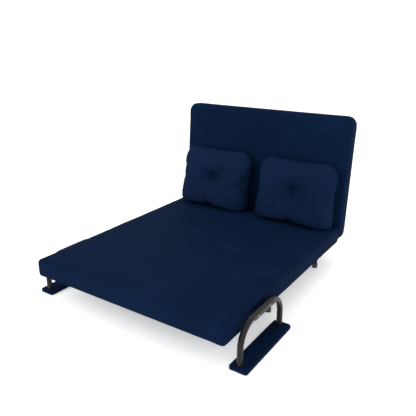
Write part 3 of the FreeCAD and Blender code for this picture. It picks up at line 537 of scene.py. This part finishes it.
def finish(name, group, values, bump, distance, **own):
    """A material: one pattern group with its values, a bump from its height, and the shader's
    own plain sockets."""
    made = bpy.data.materials.new(name)
    made.use_nodes = True
    tree = made.node_tree
    tree.nodes.clear()
    pattern = tree.nodes.new("ShaderNodeGroup")
    pattern.node_tree = group
    for key, value in values.items():
        pattern.inputs[key].default_value = value
    relief = node(tree, "Bump", {"Strength": bump, "Distance": distance,
                                 "Height": pattern.outputs["Height"]})
    wanted = {"Base Color": pattern.outputs["Colour"], "Roughness": pattern.outputs["Roughness"],
              "Normal": relief.outputs[0]}
    if "Metallic" in pattern.outputs:
        wanted["Metallic"] = pattern.outputs["Metallic"]
    shader = node(tree, "BsdfPrincipled", wanted)
    for key, value in own.items():
        shader.inputs[key.replace("_", " ")].default_value = value
    out = tree.nodes.new("ShaderNodeOutputMaterial")
    tree.links.new(shader.outputs[0], out.inputs[0])
    return made


WOVEN = woven_group()
COATED = coated_group()
MOULDED = moulded_group()
VENEER = veneer_group()

NAVY = (0.0028, 0.0100, 0.0318, 1)
NAVY_SHEEN = (0.20, 0.32, 0.75, 1)
navy = finish(
    "navy_fabric", WOVEN, {"Colour": NAVY, "Yarn": 0.0016, "Slub": 0.5, "Roughness": 0.78},
    0.35, 0.0003, Sheen_Weight=0.004, Sheen_Roughness=0.45, Sheen_Tint=NAVY_SHEEN,
    Specular_IOR_Level=0.015)
pillow_navy = finish(
    "pillow_fabric", WOVEN,
    {"Colour": (0.0042, 0.0122, 0.0385, 1), "Yarn": 0.0013, "Slub": 0.35, "Roughness": 0.74},
    0.3, 0.00025, Sheen_Weight=0.006, Sheen_Roughness=0.4, Sheen_Tint=NAVY_SHEEN,
    Specular_IOR_Level=0.02)
thread_navy = finish(
    "sewing_thread", WOVEN,
    {"Colour": (0.0025, 0.0095, 0.035, 1), "Yarn": 0.0004, "Slub": 0.2, "Roughness": 0.6},
    0.3, 0.0001, Specular_IOR_Level=0.1)
dark_steel = finish(
    "dark_steel", COATED,
    {"Colour": (0.0085, 0.0088, 0.0098, 1), "Bare": (0.06, 0.06, 0.063, 1), "Roughness": 0.32,
     "Wear": 0.25, "Peel": 900.0}, 0.12, 0.0002, Specular_IOR_Level=0.22)
zinc_steel = finish(
    "zinc_steel", COATED,
    {"Colour": (0.55, 0.56, 0.58, 1), "Bare": (0.42, 0.42, 0.43, 1), "Roughness": 0.32,
     "Metallic": 1.0, "Wear": 0.6, "Peel": 1500.0}, 0.1, 0.0001)
cover_cloth = finish(
    "cover_cloth", MOULDED,
    {"Colour": (0.014, 0.014, 0.016, 1), "Dust": 0.35, "Roughness": 0.85, "Pits": 420.0},
    0.4, 0.0003, Sheen_Weight=0.08)
webbing_weave = finish(
    "webbing", WOVEN,
    {"Colour": (0.03, 0.03, 0.032, 1), "Yarn": 0.0034, "Slub": 0.4, "Roughness": 0.8},
    0.6, 0.0006, Sheen_Weight=0.08)
foot_plastic = finish(
    "foot_plastic", MOULDED,
    {"Colour": (0.018, 0.018, 0.02, 1), "Dust": 0.25, "Roughness": 0.5, "Pits": 1100.0},
    0.15, 0.0001)
rubber = finish(
    "rubber", MOULDED,
    {"Colour": (0.016, 0.016, 0.016, 1), "Dust": 0.45, "Roughness": 0.75, "Pits": 700.0},
    0.2, 0.0001)
plywood = finish("plywood", VENEER, {"Roughness": 0.55}, 0.2, 0.0002)

FINISHES = {
    "navy_fabric": navy, "pillow_fabric": pillow_navy, "dark_steel": dark_steel,
    "zinc_steel": zinc_steel, "plywood": plywood, "cover_cloth": cover_cloth,
    "webbing": webbing_weave, "foot_plastic": foot_plastic, "rubber": rubber}

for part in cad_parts.values():
    for place in part.material_slots:
        place.material = FINISHES[place.material.name.split(".")[0]]


# ------------------------------------------------------------------ camera, light and floor

camera = bpy.data.objects.new("camera", bpy.data.cameras.new("camera"))
camera.location = (1.3119, -1.9576, 1.1974)
camera.rotation_euler = (math.radians(90 - 19.39), 0, math.radians(33.88))
camera.data.lens = 43.16
camera.data.sensor_width = 36
bpy.context.scene.collection.objects.link(camera)
bpy.context.scene.camera = camera


def soft_light(name, place, target, size, watts):
    """A large square lamp that faces a point."""
    lamp = bpy.data.lights.new(name, "AREA")
    lamp.size = size
    lamp.energy = watts
    made = bpy.data.objects.new(name, lamp)
    away = np.array(place) - np.array(target)
    flat = math.hypot(away[0], away[1])
    made.location = place
    made.rotation_euler = (math.atan2(flat, away[2]), 0, math.atan2(away[0], -away[1]))
    bpy.context.scene.collection.objects.link(made)


soft_light("key", (-2.0, -3.4, 2.6), (0, 0.3, 0.4), 2.4, 62)
soft_light("fill", (3.4, -1.6, 1.8), (0, 0, 0.3), 2.4, 8)
soft_light("over", (0.2, 0.6, 3.8), (0, 0, 0.2), 3.0, 14)

world = bpy.data.worlds.new("studio")
world.use_nodes = True
world.node_tree.nodes["Background"].inputs["Color"].default_value = (1, 1, 1, 1)
world.node_tree.nodes["Background"].inputs["Strength"].default_value = 1.06
bpy.context.scene.world = world
bpy.context.scene.view_settings.view_transform = "Standard"

floor_side = np.array([-14.0, 14.0])
floor_grid = np.stack(
    np.meshgrid(floor_side, floor_side, indexing="ij") + [np.zeros((2, 2))], axis=-1)
floor_mesh = mesh_from_grid("floor", floor_grid)
pale = bpy.data.materials.new("pale_floor")
pale.use_nodes = True
pale_shader = pale.node_tree.nodes["Principled BSDF"].inputs
pale_shader["Base Color"].default_value = (0.95, 0.95, 0.95, 1)
pale_shader["Roughness"].default_value = 0.9
pale_shader["Emission Color"].default_value = (1, 1, 1, 1)
pale_shader["Emission Strength"].default_value = 0.35
floor = bpy.data.objects.new("floor", floor_mesh)
floor_mesh.materials.append(pale)
bpy.context.scene.collection.objects.link(floor)


# ------------------------------------------------------------------ seat sections and backrest

def seat_start(front, rear, low, shrink):
    """The slab that a seat section swells from, in the row frame."""
    half_y = (rear - front) / 2 - shrink
    half_z = (PAD_HIGH - low) / 2 - shrink
    slab = slab_surface(PAD_HALF_WIDTH - shrink, half_y, half_z, PAD_CORNER, PAD_UPPER_EDGE,
                        PAD_LOWER_EDGE, 0.04)
    return slab + np.array([0, (rear + front) / 2, (PAD_HIGH + low) / 2])


def back_start(shrink):
    """The slab that the backrest swells from: X across, Y up the backrest from its pivot, and Z
    out of its front face."""
    low = -BACK_END_RADIUS
    middle = (BACK_FACE - BACK_REAR) / 2
    slab = slab_surface(BACK_HALF_WIDTH - shrink, (BACK_TOP - low) / 2 - shrink,
                        (BACK_FACE + BACK_REAR) / 2 - shrink, BACK_CORNER, BACK_EDGE,
                        BACK_EDGE, 0.04)
    return slab + np.array([0, (BACK_TOP + low) / 2, middle])


def on_the_back(points):
    """Takes points from the backrest's own directions (across, up, out) to the row frame."""
    return (PIVOT + points[:, :1] * np.array([1.0, 0, 0]) + points[:, 1:2] * UP_THE_BACK
            + points[:, 2:] * OUT_OF_THE_BACK)


PAD_VOXEL = 0.008
PAD_SWELL = 0.004
PAD_REACH = 0.0055        # the furthest that the skin may swell
PAD_PRESSURE = 4.0

front_start = mesh_from_grid("seat_front", seat_start(
    SEAT_FRONT, FRONT_SEAM + SEAM_OVERRUN, PAD_LOW, PAD_SWELL), wrap_columns=True)
middle_start = mesh_from_grid("seat_middle", seat_start(
    MIDDLE_SEAM - SEAM_OVERRUN, MIDDLE_REAR, PAD_LOW + COVER_GAP, PAD_SWELL), wrap_columns=True)
backrest_start = mesh_from_grid("backrest", back_start(PAD_SWELL), wrap_columns=True)
pad_meshes = [remeshed(m, PAD_VOXEL) for m in (front_start, middle_start, backrest_start)]


# ------------------------------------------------------------------ pillow envelope

def envelope_surface(width, height, belly):
    """An empty pillow cover, laid flat: X across, Y up, Z towards the front. Columns go round a
    round-cornered rectangle and rows shrink it to the middle, once for each face. Each face
    bulges by belly times the root of 1 - k to the power 4, k being the share of the way out, and
    dips round the tuft."""
    centre, outward, radius = outline(width / 2, height / 2, ENVELOPE_CORNERS, 0.02)
    share = np.concatenate([np.linspace(0, 1, 40), np.linspace(1, 0, 40)[1:]])
    face = np.concatenate([np.ones(40), -np.ones(39)])
    plan = (centre + radius[:, None] * outward)[None] * share[:, None, None]
    dip = tuft_dip(plan[..., 0], plan[..., 1] + height / 2)
    bulge = belly * np.sqrt(np.maximum(0, 1 - share[:, None] ** 4)) * face[:, None]
    return np.concatenate([plan, (bulge * (1 - 0.8 * dip))[..., None]], axis=-1)


def tuft_dip(across, up):
    """How strongly the tuft pulls at a place: 1 at the button, falling as a bell curve."""
    away = np.hypot(across, up - TUFT_HEIGHT * ENVELOPE_HEIGHT / PILLOW_HEIGHT)
    return np.exp(-(away / 0.03) ** 2)


PILLOW_VOXEL = 0.0055
PILLOW_PRESSURE = 5.0
PILLOW_SHRINK = -0.01     # less than nothing: the cloth may stretch
PILLOW_REACH = 0.018      # the furthest that the skin may swell
PILLOW_FLAT = 0.014       # depth that the seat and the backrest press flat
envelope = mesh_from_grid(
    "envelope", envelope_surface(ENVELOPE_WIDTH, ENVELOPE_HEIGHT, ENVELOPE_BELLY),
    wrap_columns=True)
pillow_mesh = remeshed(envelope, PILLOW_VOXEL)
pillow_flat = points_of(pillow_mesh)
tuft_pull = tuft_dip(pillow_flat[:, 0], pillow_flat[:, 1] + ENVELOPE_HEIGHT / 2)
sewn_down = np.where(tuft_pull > 0.87, 1.0, 0.0)


# ------------------------------------------------------------------ swelling

SWELL_FRAMES = 20

pad_cloths = [stuffed(m.name + "_cloth", m, PAD_PRESSURE, 0.0) for m in pad_meshes]
pillow_cloth = stuffed("pillow_cloth", pillow_mesh, PILLOW_PRESSURE, PILLOW_SHRINK, sewn_down)
cloths = pad_cloths + [pillow_cloth]
starts = [points_of(c.data) for c in cloths]
ends = swell(cloths, SWELL_FRAMES)
for cloth in cloths:
    bpy.data.objects.remove(cloth)


def filled_out(points):
    """Gives the skin back as it is: it does not move it outwards."""
    return points


# ------------------------------------------------------------------ finished seat and backrest

def seat_section(name, mesh, start, end, front, rear, low, seam, seam_side, body, nodes, seed):
    """A seat section: swollen, brought to its size, and cut flat at the fold seam."""
    skin = capped(start, end, PAD_REACH)
    skin = filled_out(skin)
    skin = brought_to(skin, (-PAD_HALF_WIDTH, front, low), (PAD_HALF_WIDTH, rear, PAD_HIGH))
    top = np.clip((skin[:, 2] - 0.18) / 0.03, 0, 1)
    skin[:, 2] += top * 0.0011 * lapped(skin, 0.31, seed)
    skin[:, 1] = seam - seam_side * rest_against(seam_side * (seam - skin[:, 1]), 0.0, 0.0016)
    set_points(mesh, skin)
    made = piece(name, mesh, navy)
    subdivided(made)
    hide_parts(*nodes)
    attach(made, body)
    return made


seat_front = seat_section(
    "seat_front", pad_meshes[0], starts[0], ends[0], SEAT_FRONT, FRONT_SEAM + SEAM_OVERRUN,
    PAD_LOW, FRONT_SEAM, 1, "front",
    ["front_pad_upper", "front_pad_lower"], 3)
seat_middle = seat_section(
    "seat_middle", pad_meshes[1], starts[1], ends[1], MIDDLE_SEAM - SEAM_OVERRUN, MIDDLE_REAR,
    PAD_LOW + COVER_GAP, MIDDLE_SEAM, -1, "base", ["middle_pad"], 5)


def backrest_section():
    """The backrest: swollen, with its lower end held inside a half round about the pivot."""
    mesh = pad_meshes[2]
    skin = capped(starts[2], ends[2], PAD_REACH)
    skin = filled_out(skin)
    skin = brought_to(skin, (-BACK_HALF_WIDTH, -BACK_END_RADIUS, -BACK_REAR),
                      (BACK_HALF_WIDTH, BACK_TOP, BACK_FACE))
    room = np.sqrt(np.maximum(0, BACK_END_RADIUS ** 2 - np.minimum(skin[:, 1], 0) ** 2))
    skin[:, 2] = np.clip(skin[:, 2], -room, room)
    skin[:, 2] = rest_against(skin[:, 2], 0.0006 - BACK_REAR, 0.0004)
    face = np.clip((skin[:, 2] - 0.02) / 0.02, 0, 1) * np.clip(skin[:, 1] / 0.1, 0, 1)
    skin[:, 2] += face * 0.0012 * lapped(skin, 0.29, 8)
    set_points(mesh, on_the_back(skin))
    made = piece("backrest", mesh, navy)
    subdivided(made)
    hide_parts("back_pad_front", "back_pad_rear")
    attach(made, "back")
    return made


backrest = backrest_section()


# ------------------------------------------------------------------ pillows

def seam_gathers(skin, middle):
    """Short gathers in the cover, like teeth of a comb, strongest a little inside its seams and
    towards both sides."""
    edge = 1 - np.clip(np.maximum(
        np.abs(skin[:, 0]) / PILLOW_HALF_WIDTH,
        np.abs(skin[:, 1] / PILLOW_HEIGHT - 0.5) * 2), 0, 1)
    around = np.arctan2(skin[:, 1] - PILLOW_HEIGHT / 2, skin[:, 0]) * 0.2
    gather = np.sin(around * 2 * math.pi / 0.019 + 3 * lapped(skin, 0.12, 12))
    sides = np.clip(np.abs(skin[:, 0]) / PILLOW_HALF_WIDTH * 1.6 - 0.6, 0.25, 1)
    return (np.sign(skin[:, 2] - middle) * 0.0017 * sides * gather
            * np.exp(-((edge - 0.09) / 0.07) ** 2))


def tuft_folds(skin, middle):
    """Folds that run out from the tuft like spokes: two waves round it, of 7 and 4 turns."""
    away_x, away_y = skin[:, 0], skin[:, 1] - TUFT_HEIGHT
    away = np.hypot(away_x, away_y)
    folds = np.cos(7 * np.arctan2(away_y, away_x) + 0.8) + 0.6 * np.cos(
        4 * np.arctan2(away_y, away_x) + 2.1)
    return (np.sign(skin[:, 2] - middle) * 0.0016 * folds
            * np.exp(-((away - 0.034) / 0.022) ** 2))


def pillow_points():
    """The swollen pillow, brought to its finished size, flat where it stands on the seat and
    leans on the backrest, with short gathers along its side seams and folds round its tuft."""
    skin = capped(starts[3], ends[3], PILLOW_REACH)
    low, high = skin.min(axis=0), skin.max(axis=0)
    size = np.array([2 * PILLOW_HALF_WIDTH, PILLOW_HEIGHT + PILLOW_FLAT,
                     PILLOW_THICKNESS + PILLOW_FLAT])
    skin = (skin - (low + high) / 2) * size / (high - low)
    skin[:, 1:] += size[1:] / 2 - PILLOW_FLAT
    middle = PILLOW_THICKNESS / 2 - 0.004
    skin[:, 2] += seam_gathers(skin, middle)
    skin[:, 2] += tuft_folds(skin, middle)
    skin[:, 1:] = rest_against(skin[:, 1:], 0.0, 0.003)
    return skin


def pillow_seam(skin):
    """The seam that joins the front and the back of a pillow: the outermost points near the
    middle of its thickness, one for each of many equal turns about its centre."""
    middle = PILLOW_THICKNESS / 2 - 0.004
    band = skin[np.abs(skin[:, 2] - middle) < 0.010]
    centre = np.array([0, PILLOW_HEIGHT / 2])
    away = band[:, :2] - centre
    bins = 220
    turn = np.floor((np.arctan2(away[:, 1], away[:, 0]) + math.pi) / (2 * math.pi) * bins)
    order = np.lexsort((np.linalg.norm(away, axis=1), turn))
    last = np.nonzero(np.append(np.diff(turn[order]) > 0, True))[0]
    path = evened(band[order][last], 5)
    path[:, 2] = path[:, 2] * 0.3 + middle * 0.7
    return path


pillow_skin = pillow_points()
seam_path = pillow_seam(pillow_skin)
seam_out = seam_path - np.array([0, PILLOW_HEIGHT / 2, PILLOW_THICKNESS / 2])
seam_out[:, 2] = 0
seam_out /= np.linalg.norm(seam_out, axis=1, keepdims=True)


def placed_pillow(points, side):
    """Moves points from the pillow's own place to its place against the backrest. The filling has
    sunk, so the pillow is a wedge: thicker near the seat and thinner near its top. Its lower end
    turns level to lie flat on the seat."""
    share = points[:, 1] / PILLOW_HEIGHT
    out = points[:, 2] * (1 + PILLOW_WEDGE * (1 - 2 * share))
    level = np.clip(1 - share, 0, 1) * math.tan(LEAN) * out
    mirror = np.stack([points[:, 0] * side, points[:, 1] - level, out], axis=1)
    centre = PILLOW_X[0] if side < 0 else PILLOW_X[1]
    return on_the_back(mirror + np.array([centre, PILLOW_BASE, BACK_FACE + 0.0008]))


def button_surface(radius, depth):
    """A covered button: rings that make a low dome, steeper towards its rim, rolled under there
    and closed behind."""
    turn = np.linspace(0, 2 * math.pi, 32, endpoint=False)
    out = np.array([0.0, 0.3, 0.55, 0.75, 0.9, 0.98, 1.0, 0.96, 0.85, 0.5, 0.0]) * radius
    up = np.array([1.0, 0.98, 0.93, 0.84, 0.68, 0.45, 0.2, 0.0, -0.1, -0.12, -0.12]) * depth
    return np.stack([
        out[:, None] * np.cos(turn), out[:, None] * np.sin(turn),
        np.broadcast_to(up[:, None], (11, 32))], axis=-1)


for label, side in (("left", -1), ("right", 1)):
    body = label + "_pillow"
    skin_mesh = pillow_mesh.copy()
    set_points(skin_mesh, placed_pillow(pillow_skin, side))
    if side < 0:
        skin_mesh.flip_normals()
    cover = piece("pillow_cover_" + label, skin_mesh, pillow_navy)
    subdivided(cover)
    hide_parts("pillow_" + label)
    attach(cover, body)
    welt = swept(seam_path, seam_out, ring(0.0017, 0.0013), closed=True)
    welt_mesh = mesh_from_grid(
        "pillow_seam_" + label, placed_pillow(welt.reshape(-1, 3), side).reshape(welt.shape),
        wrap_rows=True, wrap_columns=True)
    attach(piece("pillow_seam_" + label, welt_mesh, pillow_navy), body)
    near = np.hypot(pillow_skin[:, 0], pillow_skin[:, 1] - TUFT_HEIGHT) < 0.012
    dip = pillow_skin[near & (pillow_skin[:, 2] > PILLOW_THICKNESS / 2), 2].mean()
    dome = button_surface(0.0095, 0.004) + np.array([0, TUFT_HEIGHT, dip])
    dome_mesh = mesh_from_grid(
        "pillow_tuft_" + label, placed_pillow(dome.reshape(-1, 3), side).reshape(dome.shape),
        wrap_columns=True)
    button = piece("pillow_tuft_" + label, dome_mesh, pillow_navy)
    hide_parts("pillow_button_" + label)
    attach(button, body)


# ------------------------------------------------------------------ armrest boards

def arm_wrap_surface():
    """The padded cloth round an armrest board: a slab whose upper face bulges between the tube's
    feet and dips in a small ring round each foot."""
    slab = slab_surface(BOARD_HALF[0], BOARD_HALF[1], BOARD_THICKNESS / 2, BOARD_CORNER, 0.006,
                        0.0045, 0.006, rings=8)
    slab = slab + np.array([BOARD_MIDDLE[0], BOARD_MIDDLE[1], BOARD_THICKNESS / 2])
    x, y, z = slab[..., 0], slab[..., 1], slab[..., 2]
    upper = np.clip((z - 0.012) / 0.006, 0, 1)
    inside = np.clip(1 - np.abs(x - BOARD_MIDDLE[0]) / BOARD_HALF[0], 0, 1)
    feet = [np.hypot(x - ARM_LEG_X, y - leg) - TUBE_RADIUS for leg in ARM_LEGS_Y]
    nearest = np.minimum(*feet)
    bulge = 0.0018 * np.sqrt(inside) * (1 - np.exp(-(np.maximum(nearest, 0) / 0.03) ** 2))
    dip = 0.0010 * np.exp(-(np.maximum(nearest, 0) / 0.006) ** 2)
    lift = upper * (bulge - dip)
    return np.stack([x, y, z + lift], axis=-1)


for label, side in (("left", -1), ("right", 1)):
    wrap = arm_wrap_surface() * np.array([side, 1, 1])
    wrap_mesh = mesh_from_grid("arm_wrap_" + label, wrap, wrap_columns=True)
    cover = piece("arm_wrap_" + label, wrap_mesh, navy)
    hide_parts("arm_pad_" + label, "arm_board_" + label)
    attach(cover, "front")


# ------------------------------------------------------------------ sewn seams

def three_sides(half_x, front, rear, step=0.004):
    """A path round the whole outline of a seat section in plan, and its direction outwards."""
    middle = (front + rear) / 2
    centre, outward, radius = outline(half_x, (rear - front) / 2, PAD_CORNER, step)
    plan = centre + radius[:, None] * outward + np.array([0, middle])
    return plan, outward


def seam_round(name, path, out, skin, lift, body):
    """A cover's seam: the edge of one cloth lapped over the next as a low welt along the path,
    with a row of stitches beside it."""
    even = evened(laid_on(path, skin), 9, closed=False)
    level = path @ lift
    even += (level - even @ lift)[:, None] * lift
    welt = swept(even, out, ring(0.0013, 0.0021), closed=False)
    made = piece(name, mesh_from_grid(name, welt, wrap_columns=True), navy)
    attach(made, body)
    thread = piece(name + "_thread", stitches(even + out * 0.0002 + lift * 0.0045, out),
                   thread_navy)
    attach(thread, body)


def seat_seam(name, made, front, rear, cut, toward, low, body):
    """The seam low on a seat section's sides, left out along the cut face at the fold."""
    plan, outward = three_sides(PAD_HALF_WIDTH, front, rear)
    start = np.argmax(toward * plan[:, 1])
    plan = np.roll(plan, -start, axis=0)
    outward = np.roll(outward, -start, axis=0)
    kept = toward * (plan[:, 1] - cut) < -0.003
    plan, outward = plan[kept], outward[kept]
    path = np.column_stack([plan, np.full(len(plan), low)])
    out = np.column_stack([outward, np.zeros(len(plan))])
    skin = points_of(made.data)
    skin = skin[np.abs(skin[:, 2] - low) < 0.008]
    seam_round(name, path, out, skin, np.array([0, 0, 1.0]), body)


seat_seam("front_seam", seat_front, SEAT_FRONT, FRONT_SEAM + SEAM_OVERRUN, FRONT_SEAM, 1,
          PAD_LOW + SEAM_RISE, "front")
seat_seam("middle_seam", seat_middle, MIDDLE_SEAM - SEAM_OVERRUN, MIDDLE_REAR, MIDDLE_SEAM, -1,
          PAD_LOW + SEAM_RISE, "base")


def back_seam():
    """The seam round the rear edge of the backrest, up one side, over the top and down the
    other."""
    half_height = (BACK_TOP + BACK_END_RADIUS) / 2
    centre, outward, radius = outline(BACK_HALF_WIDTH, half_height, BACK_CORNER, 0.004)
    plan = centre + radius[:, None] * outward + np.array([0, BACK_TOP - half_height])
    start = np.argmin(plan[:, 1])
    plan = np.roll(plan, -start, axis=0)
    outward = np.roll(outward, -start, axis=0)
    kept = plan[:, 1] > 0.012
    first = np.argmax(~kept[::-1])
    plan = np.roll(plan, first, axis=0)[np.roll(kept, first)]
    outward = np.roll(outward, first, axis=0)[np.roll(kept, first)]
    level = BACK_SEAM_RISE - BACK_REAR
    path = on_the_back(np.column_stack([plan, np.full(len(plan), level)]))
    out = outward[:, :1] * np.array([1.0, 0, 0]) + outward[:, 1:] * UP_THE_BACK
    skin = points_of(backrest.data)
    depth = (skin - PIVOT) @ OUT_OF_THE_BACK
    seam_round("back_seam", path, out, skin[np.abs(depth - level) < 0.008], OUT_OF_THE_BACK,
               "back")


back_seam()


# ------------------------------------------------------------------ zip behind the backrest

ZIP_HALF_LENGTH = 0.41
ZIP_UP = 0.060            # above the pivot, along the backrest
ZIP_OUT = 0.0447          # behind the backrest's middle plane


def behind(across, up, out):
    """Points behind the backrest, from how far across, up from the zip and out of the cover."""
    across, up, out = np.broadcast_arrays(across, up, out)
    flat = np.stack([across.ravel(), ZIP_UP + up.ravel(), -ZIP_OUT - out.ravel()], axis=-1)
    return on_the_back(flat).reshape(across.shape + (3,))


def zip_tape():
    """The two woven tapes: a strip whose height is a low arch at each of its two long halves,
    down to the cover at its edges and at the teeth between them."""
    along = np.linspace(-1, 1, 321)[:, None] * (ZIP_HALF_LENGTH + 0.012)
    across = np.linspace(-1, 1, 25)[None]
    arch = 0.0008 * np.sqrt(np.maximum(0, 1 - (2 * np.abs(across) - 1) ** 2))
    ripple = 0.00012 * np.sin(along * 260) * np.abs(across)
    return mesh_from_grid("zip_tape", behind(along, 0.0115 * across, arch + ripple))


def zip_teeth():
    """A coil zip: each tooth is a small closed ellipsoid across the gap, turned a little to one
    side and the other in turn."""
    pitch = 0.0027
    count = int(2 * ZIP_HALF_LENGTH / pitch)
    place = (np.arange(count) + 0.5) * pitch - count * pitch / 2
    lean = np.where(np.arange(count) % 2, 0.5, -0.5)
    theta = np.linspace(0, math.pi, 6)[:, None]
    phi = np.linspace(0, 2 * math.pi, 6, endpoint=False)[None]
    long = 0.0029 * np.cos(theta) + 0 * phi
    wide = 0.00085 * np.sin(theta) * np.cos(phi)
    tall = 0.0010 * np.sin(theta) * np.sin(phi)
    shift = 0.0008 * np.sign(lean)[:, None, None]
    teeth = behind(place[:, None, None] + wide + lean[:, None, None] * long * 0.3,
                   long[None] + shift, 0.0009 + tall[None])
    return mesh_from_rings("zip_teeth", teeth)


def zip_part(name, half_along, half_across, half_out, corner, along, up, out):
    """A small flat metal part with round edges: the slider's body or its pull."""
    edge = half_out * 0.8
    slab = slab_surface(half_along, half_across, half_out, corner, edge, edge, 0.003)
    return mesh_from_grid(name, behind(along + slab[..., 0], up + slab[..., 1],
                                       out + slab[..., 2]), wrap_columns=True)


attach(piece("zip_tape", zip_tape(), webbing_weave), "back")
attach(piece("zip_teeth", zip_teeth(), foot_plastic), "back")
slider_at = ZIP_HALF_LENGTH - 0.008
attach(piece("zip_slider", zip_part(
    "zip_slider", 0.0062, 0.0048, 0.0017, 0.0030, slider_at, 0.0, 0.0018),
    zinc_steel), "back")
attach(piece("zip_pull", zip_part(
    "zip_pull", 0.0032, 0.0130, 0.0006, 0.0022, slider_at, -0.0125, 0.0031),
    zinc_steel), "back")


# ------------------------------------------------------------------ fold cloth and bottom cover

def fold_cloth():
    """The strip of cloth that joins the two seat sections along the fold. Its two long edges lie
    on the sections' skins, over the top and round both upper edges, and the cloth between them
    is straight, lifted a little over the two hinges."""
    half = 0.0135
    centre, outward, radius = outline(
        PAD_HALF_WIDTH, (PAD_HIGH - PAD_LOW) / 2, PAD_UPPER_EDGE, 0.005)
    loop = centre + radius[:, None] * outward
    loop = loop[loop[:, 1] > (PAD_HIGH - PAD_LOW) / 2 - 0.0095]
    loop = loop[np.argsort(np.arctan2(loop[:, 0] * 0.06, loop[:, 1] + 0.03))]
    run = np.concatenate([[0], np.cumsum(np.linalg.norm(np.diff(loop, axis=0), axis=1))])
    even = np.linspace(0, run[-1], 360)
    x = np.interp(even, run, loop[:, 0])
    z = np.interp(even, run, loop[:, 1]) + (PAD_HIGH + PAD_LOW) / 2
    rails = []
    for made, y in ((seat_front, FOLD_Y - half), (seat_middle, FOLD_Y + half)):
        skin = points_of(made.data)
        skin = skin[np.abs(skin[:, 1] - y) < 0.009]
        rail = laid_on(np.stack([x, np.full(360, y), z], axis=-1), skin)
        rail[:, 1] = y
        rails.append(evened(rail, 7, closed=False))
    share = np.linspace(0, 1, 13)[None, :, None]
    cloth = rails[0][:, None] * (1 - share) + rails[1][:, None] * share
    out = np.stack([x, 0 * x, z - (PAD_HIGH + PAD_LOW) / 2 - 0.02], axis=-1)
    out[:, 0] = np.sign(x) * np.maximum(np.abs(x) - PAD_HALF_WIDTH + PAD_UPPER_EDGE, 0)
    out /= np.linalg.norm(out, axis=1, keepdims=True)
    belly = np.sin(share * math.pi)
    hinge = np.exp(-((np.abs(x) - 0.450) / 0.022) ** 4)[:, None, None]
    cloth = cloth + out[:, None] * (0.0004 + belly * (0.0003 + 0.0017 * hinge))
    made = piece("fold_cloth", mesh_from_grid("fold_cloth", cloth), navy)
    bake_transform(made)


def bottom_cover():
    """The thin black cloth stretched under the middle section, a hair above its lowest face,
    with shallow waves between its fixings."""
    low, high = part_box("middle_bottom_cover")
    u = np.linspace(0, 1, 121)[:, None]
    v = np.linspace(0, 1, 67)[None]
    x = low.x + 0.001 + (high.x - low.x - 0.002) * u + 0 * v
    y = low.y + 0.001 + (high.y - low.y - 0.002) * v + 0 * u
    wave = np.sin(u * 41) * np.sin(v * 23) * 16 * u * (1 - u) * v * (1 - v)
    z = low.z + 0.0006 + 0.0003 * wave
    made = piece("bottom_cover", mesh_from_grid("bottom_cover", np.stack([x, y, z], axis=-1)),
                 cover_cloth)
    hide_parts("middle_bottom_cover")
    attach(made, "base")


fold_cloth()
bottom_cover()

for section in (seat_front, seat_middle):
    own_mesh(section)
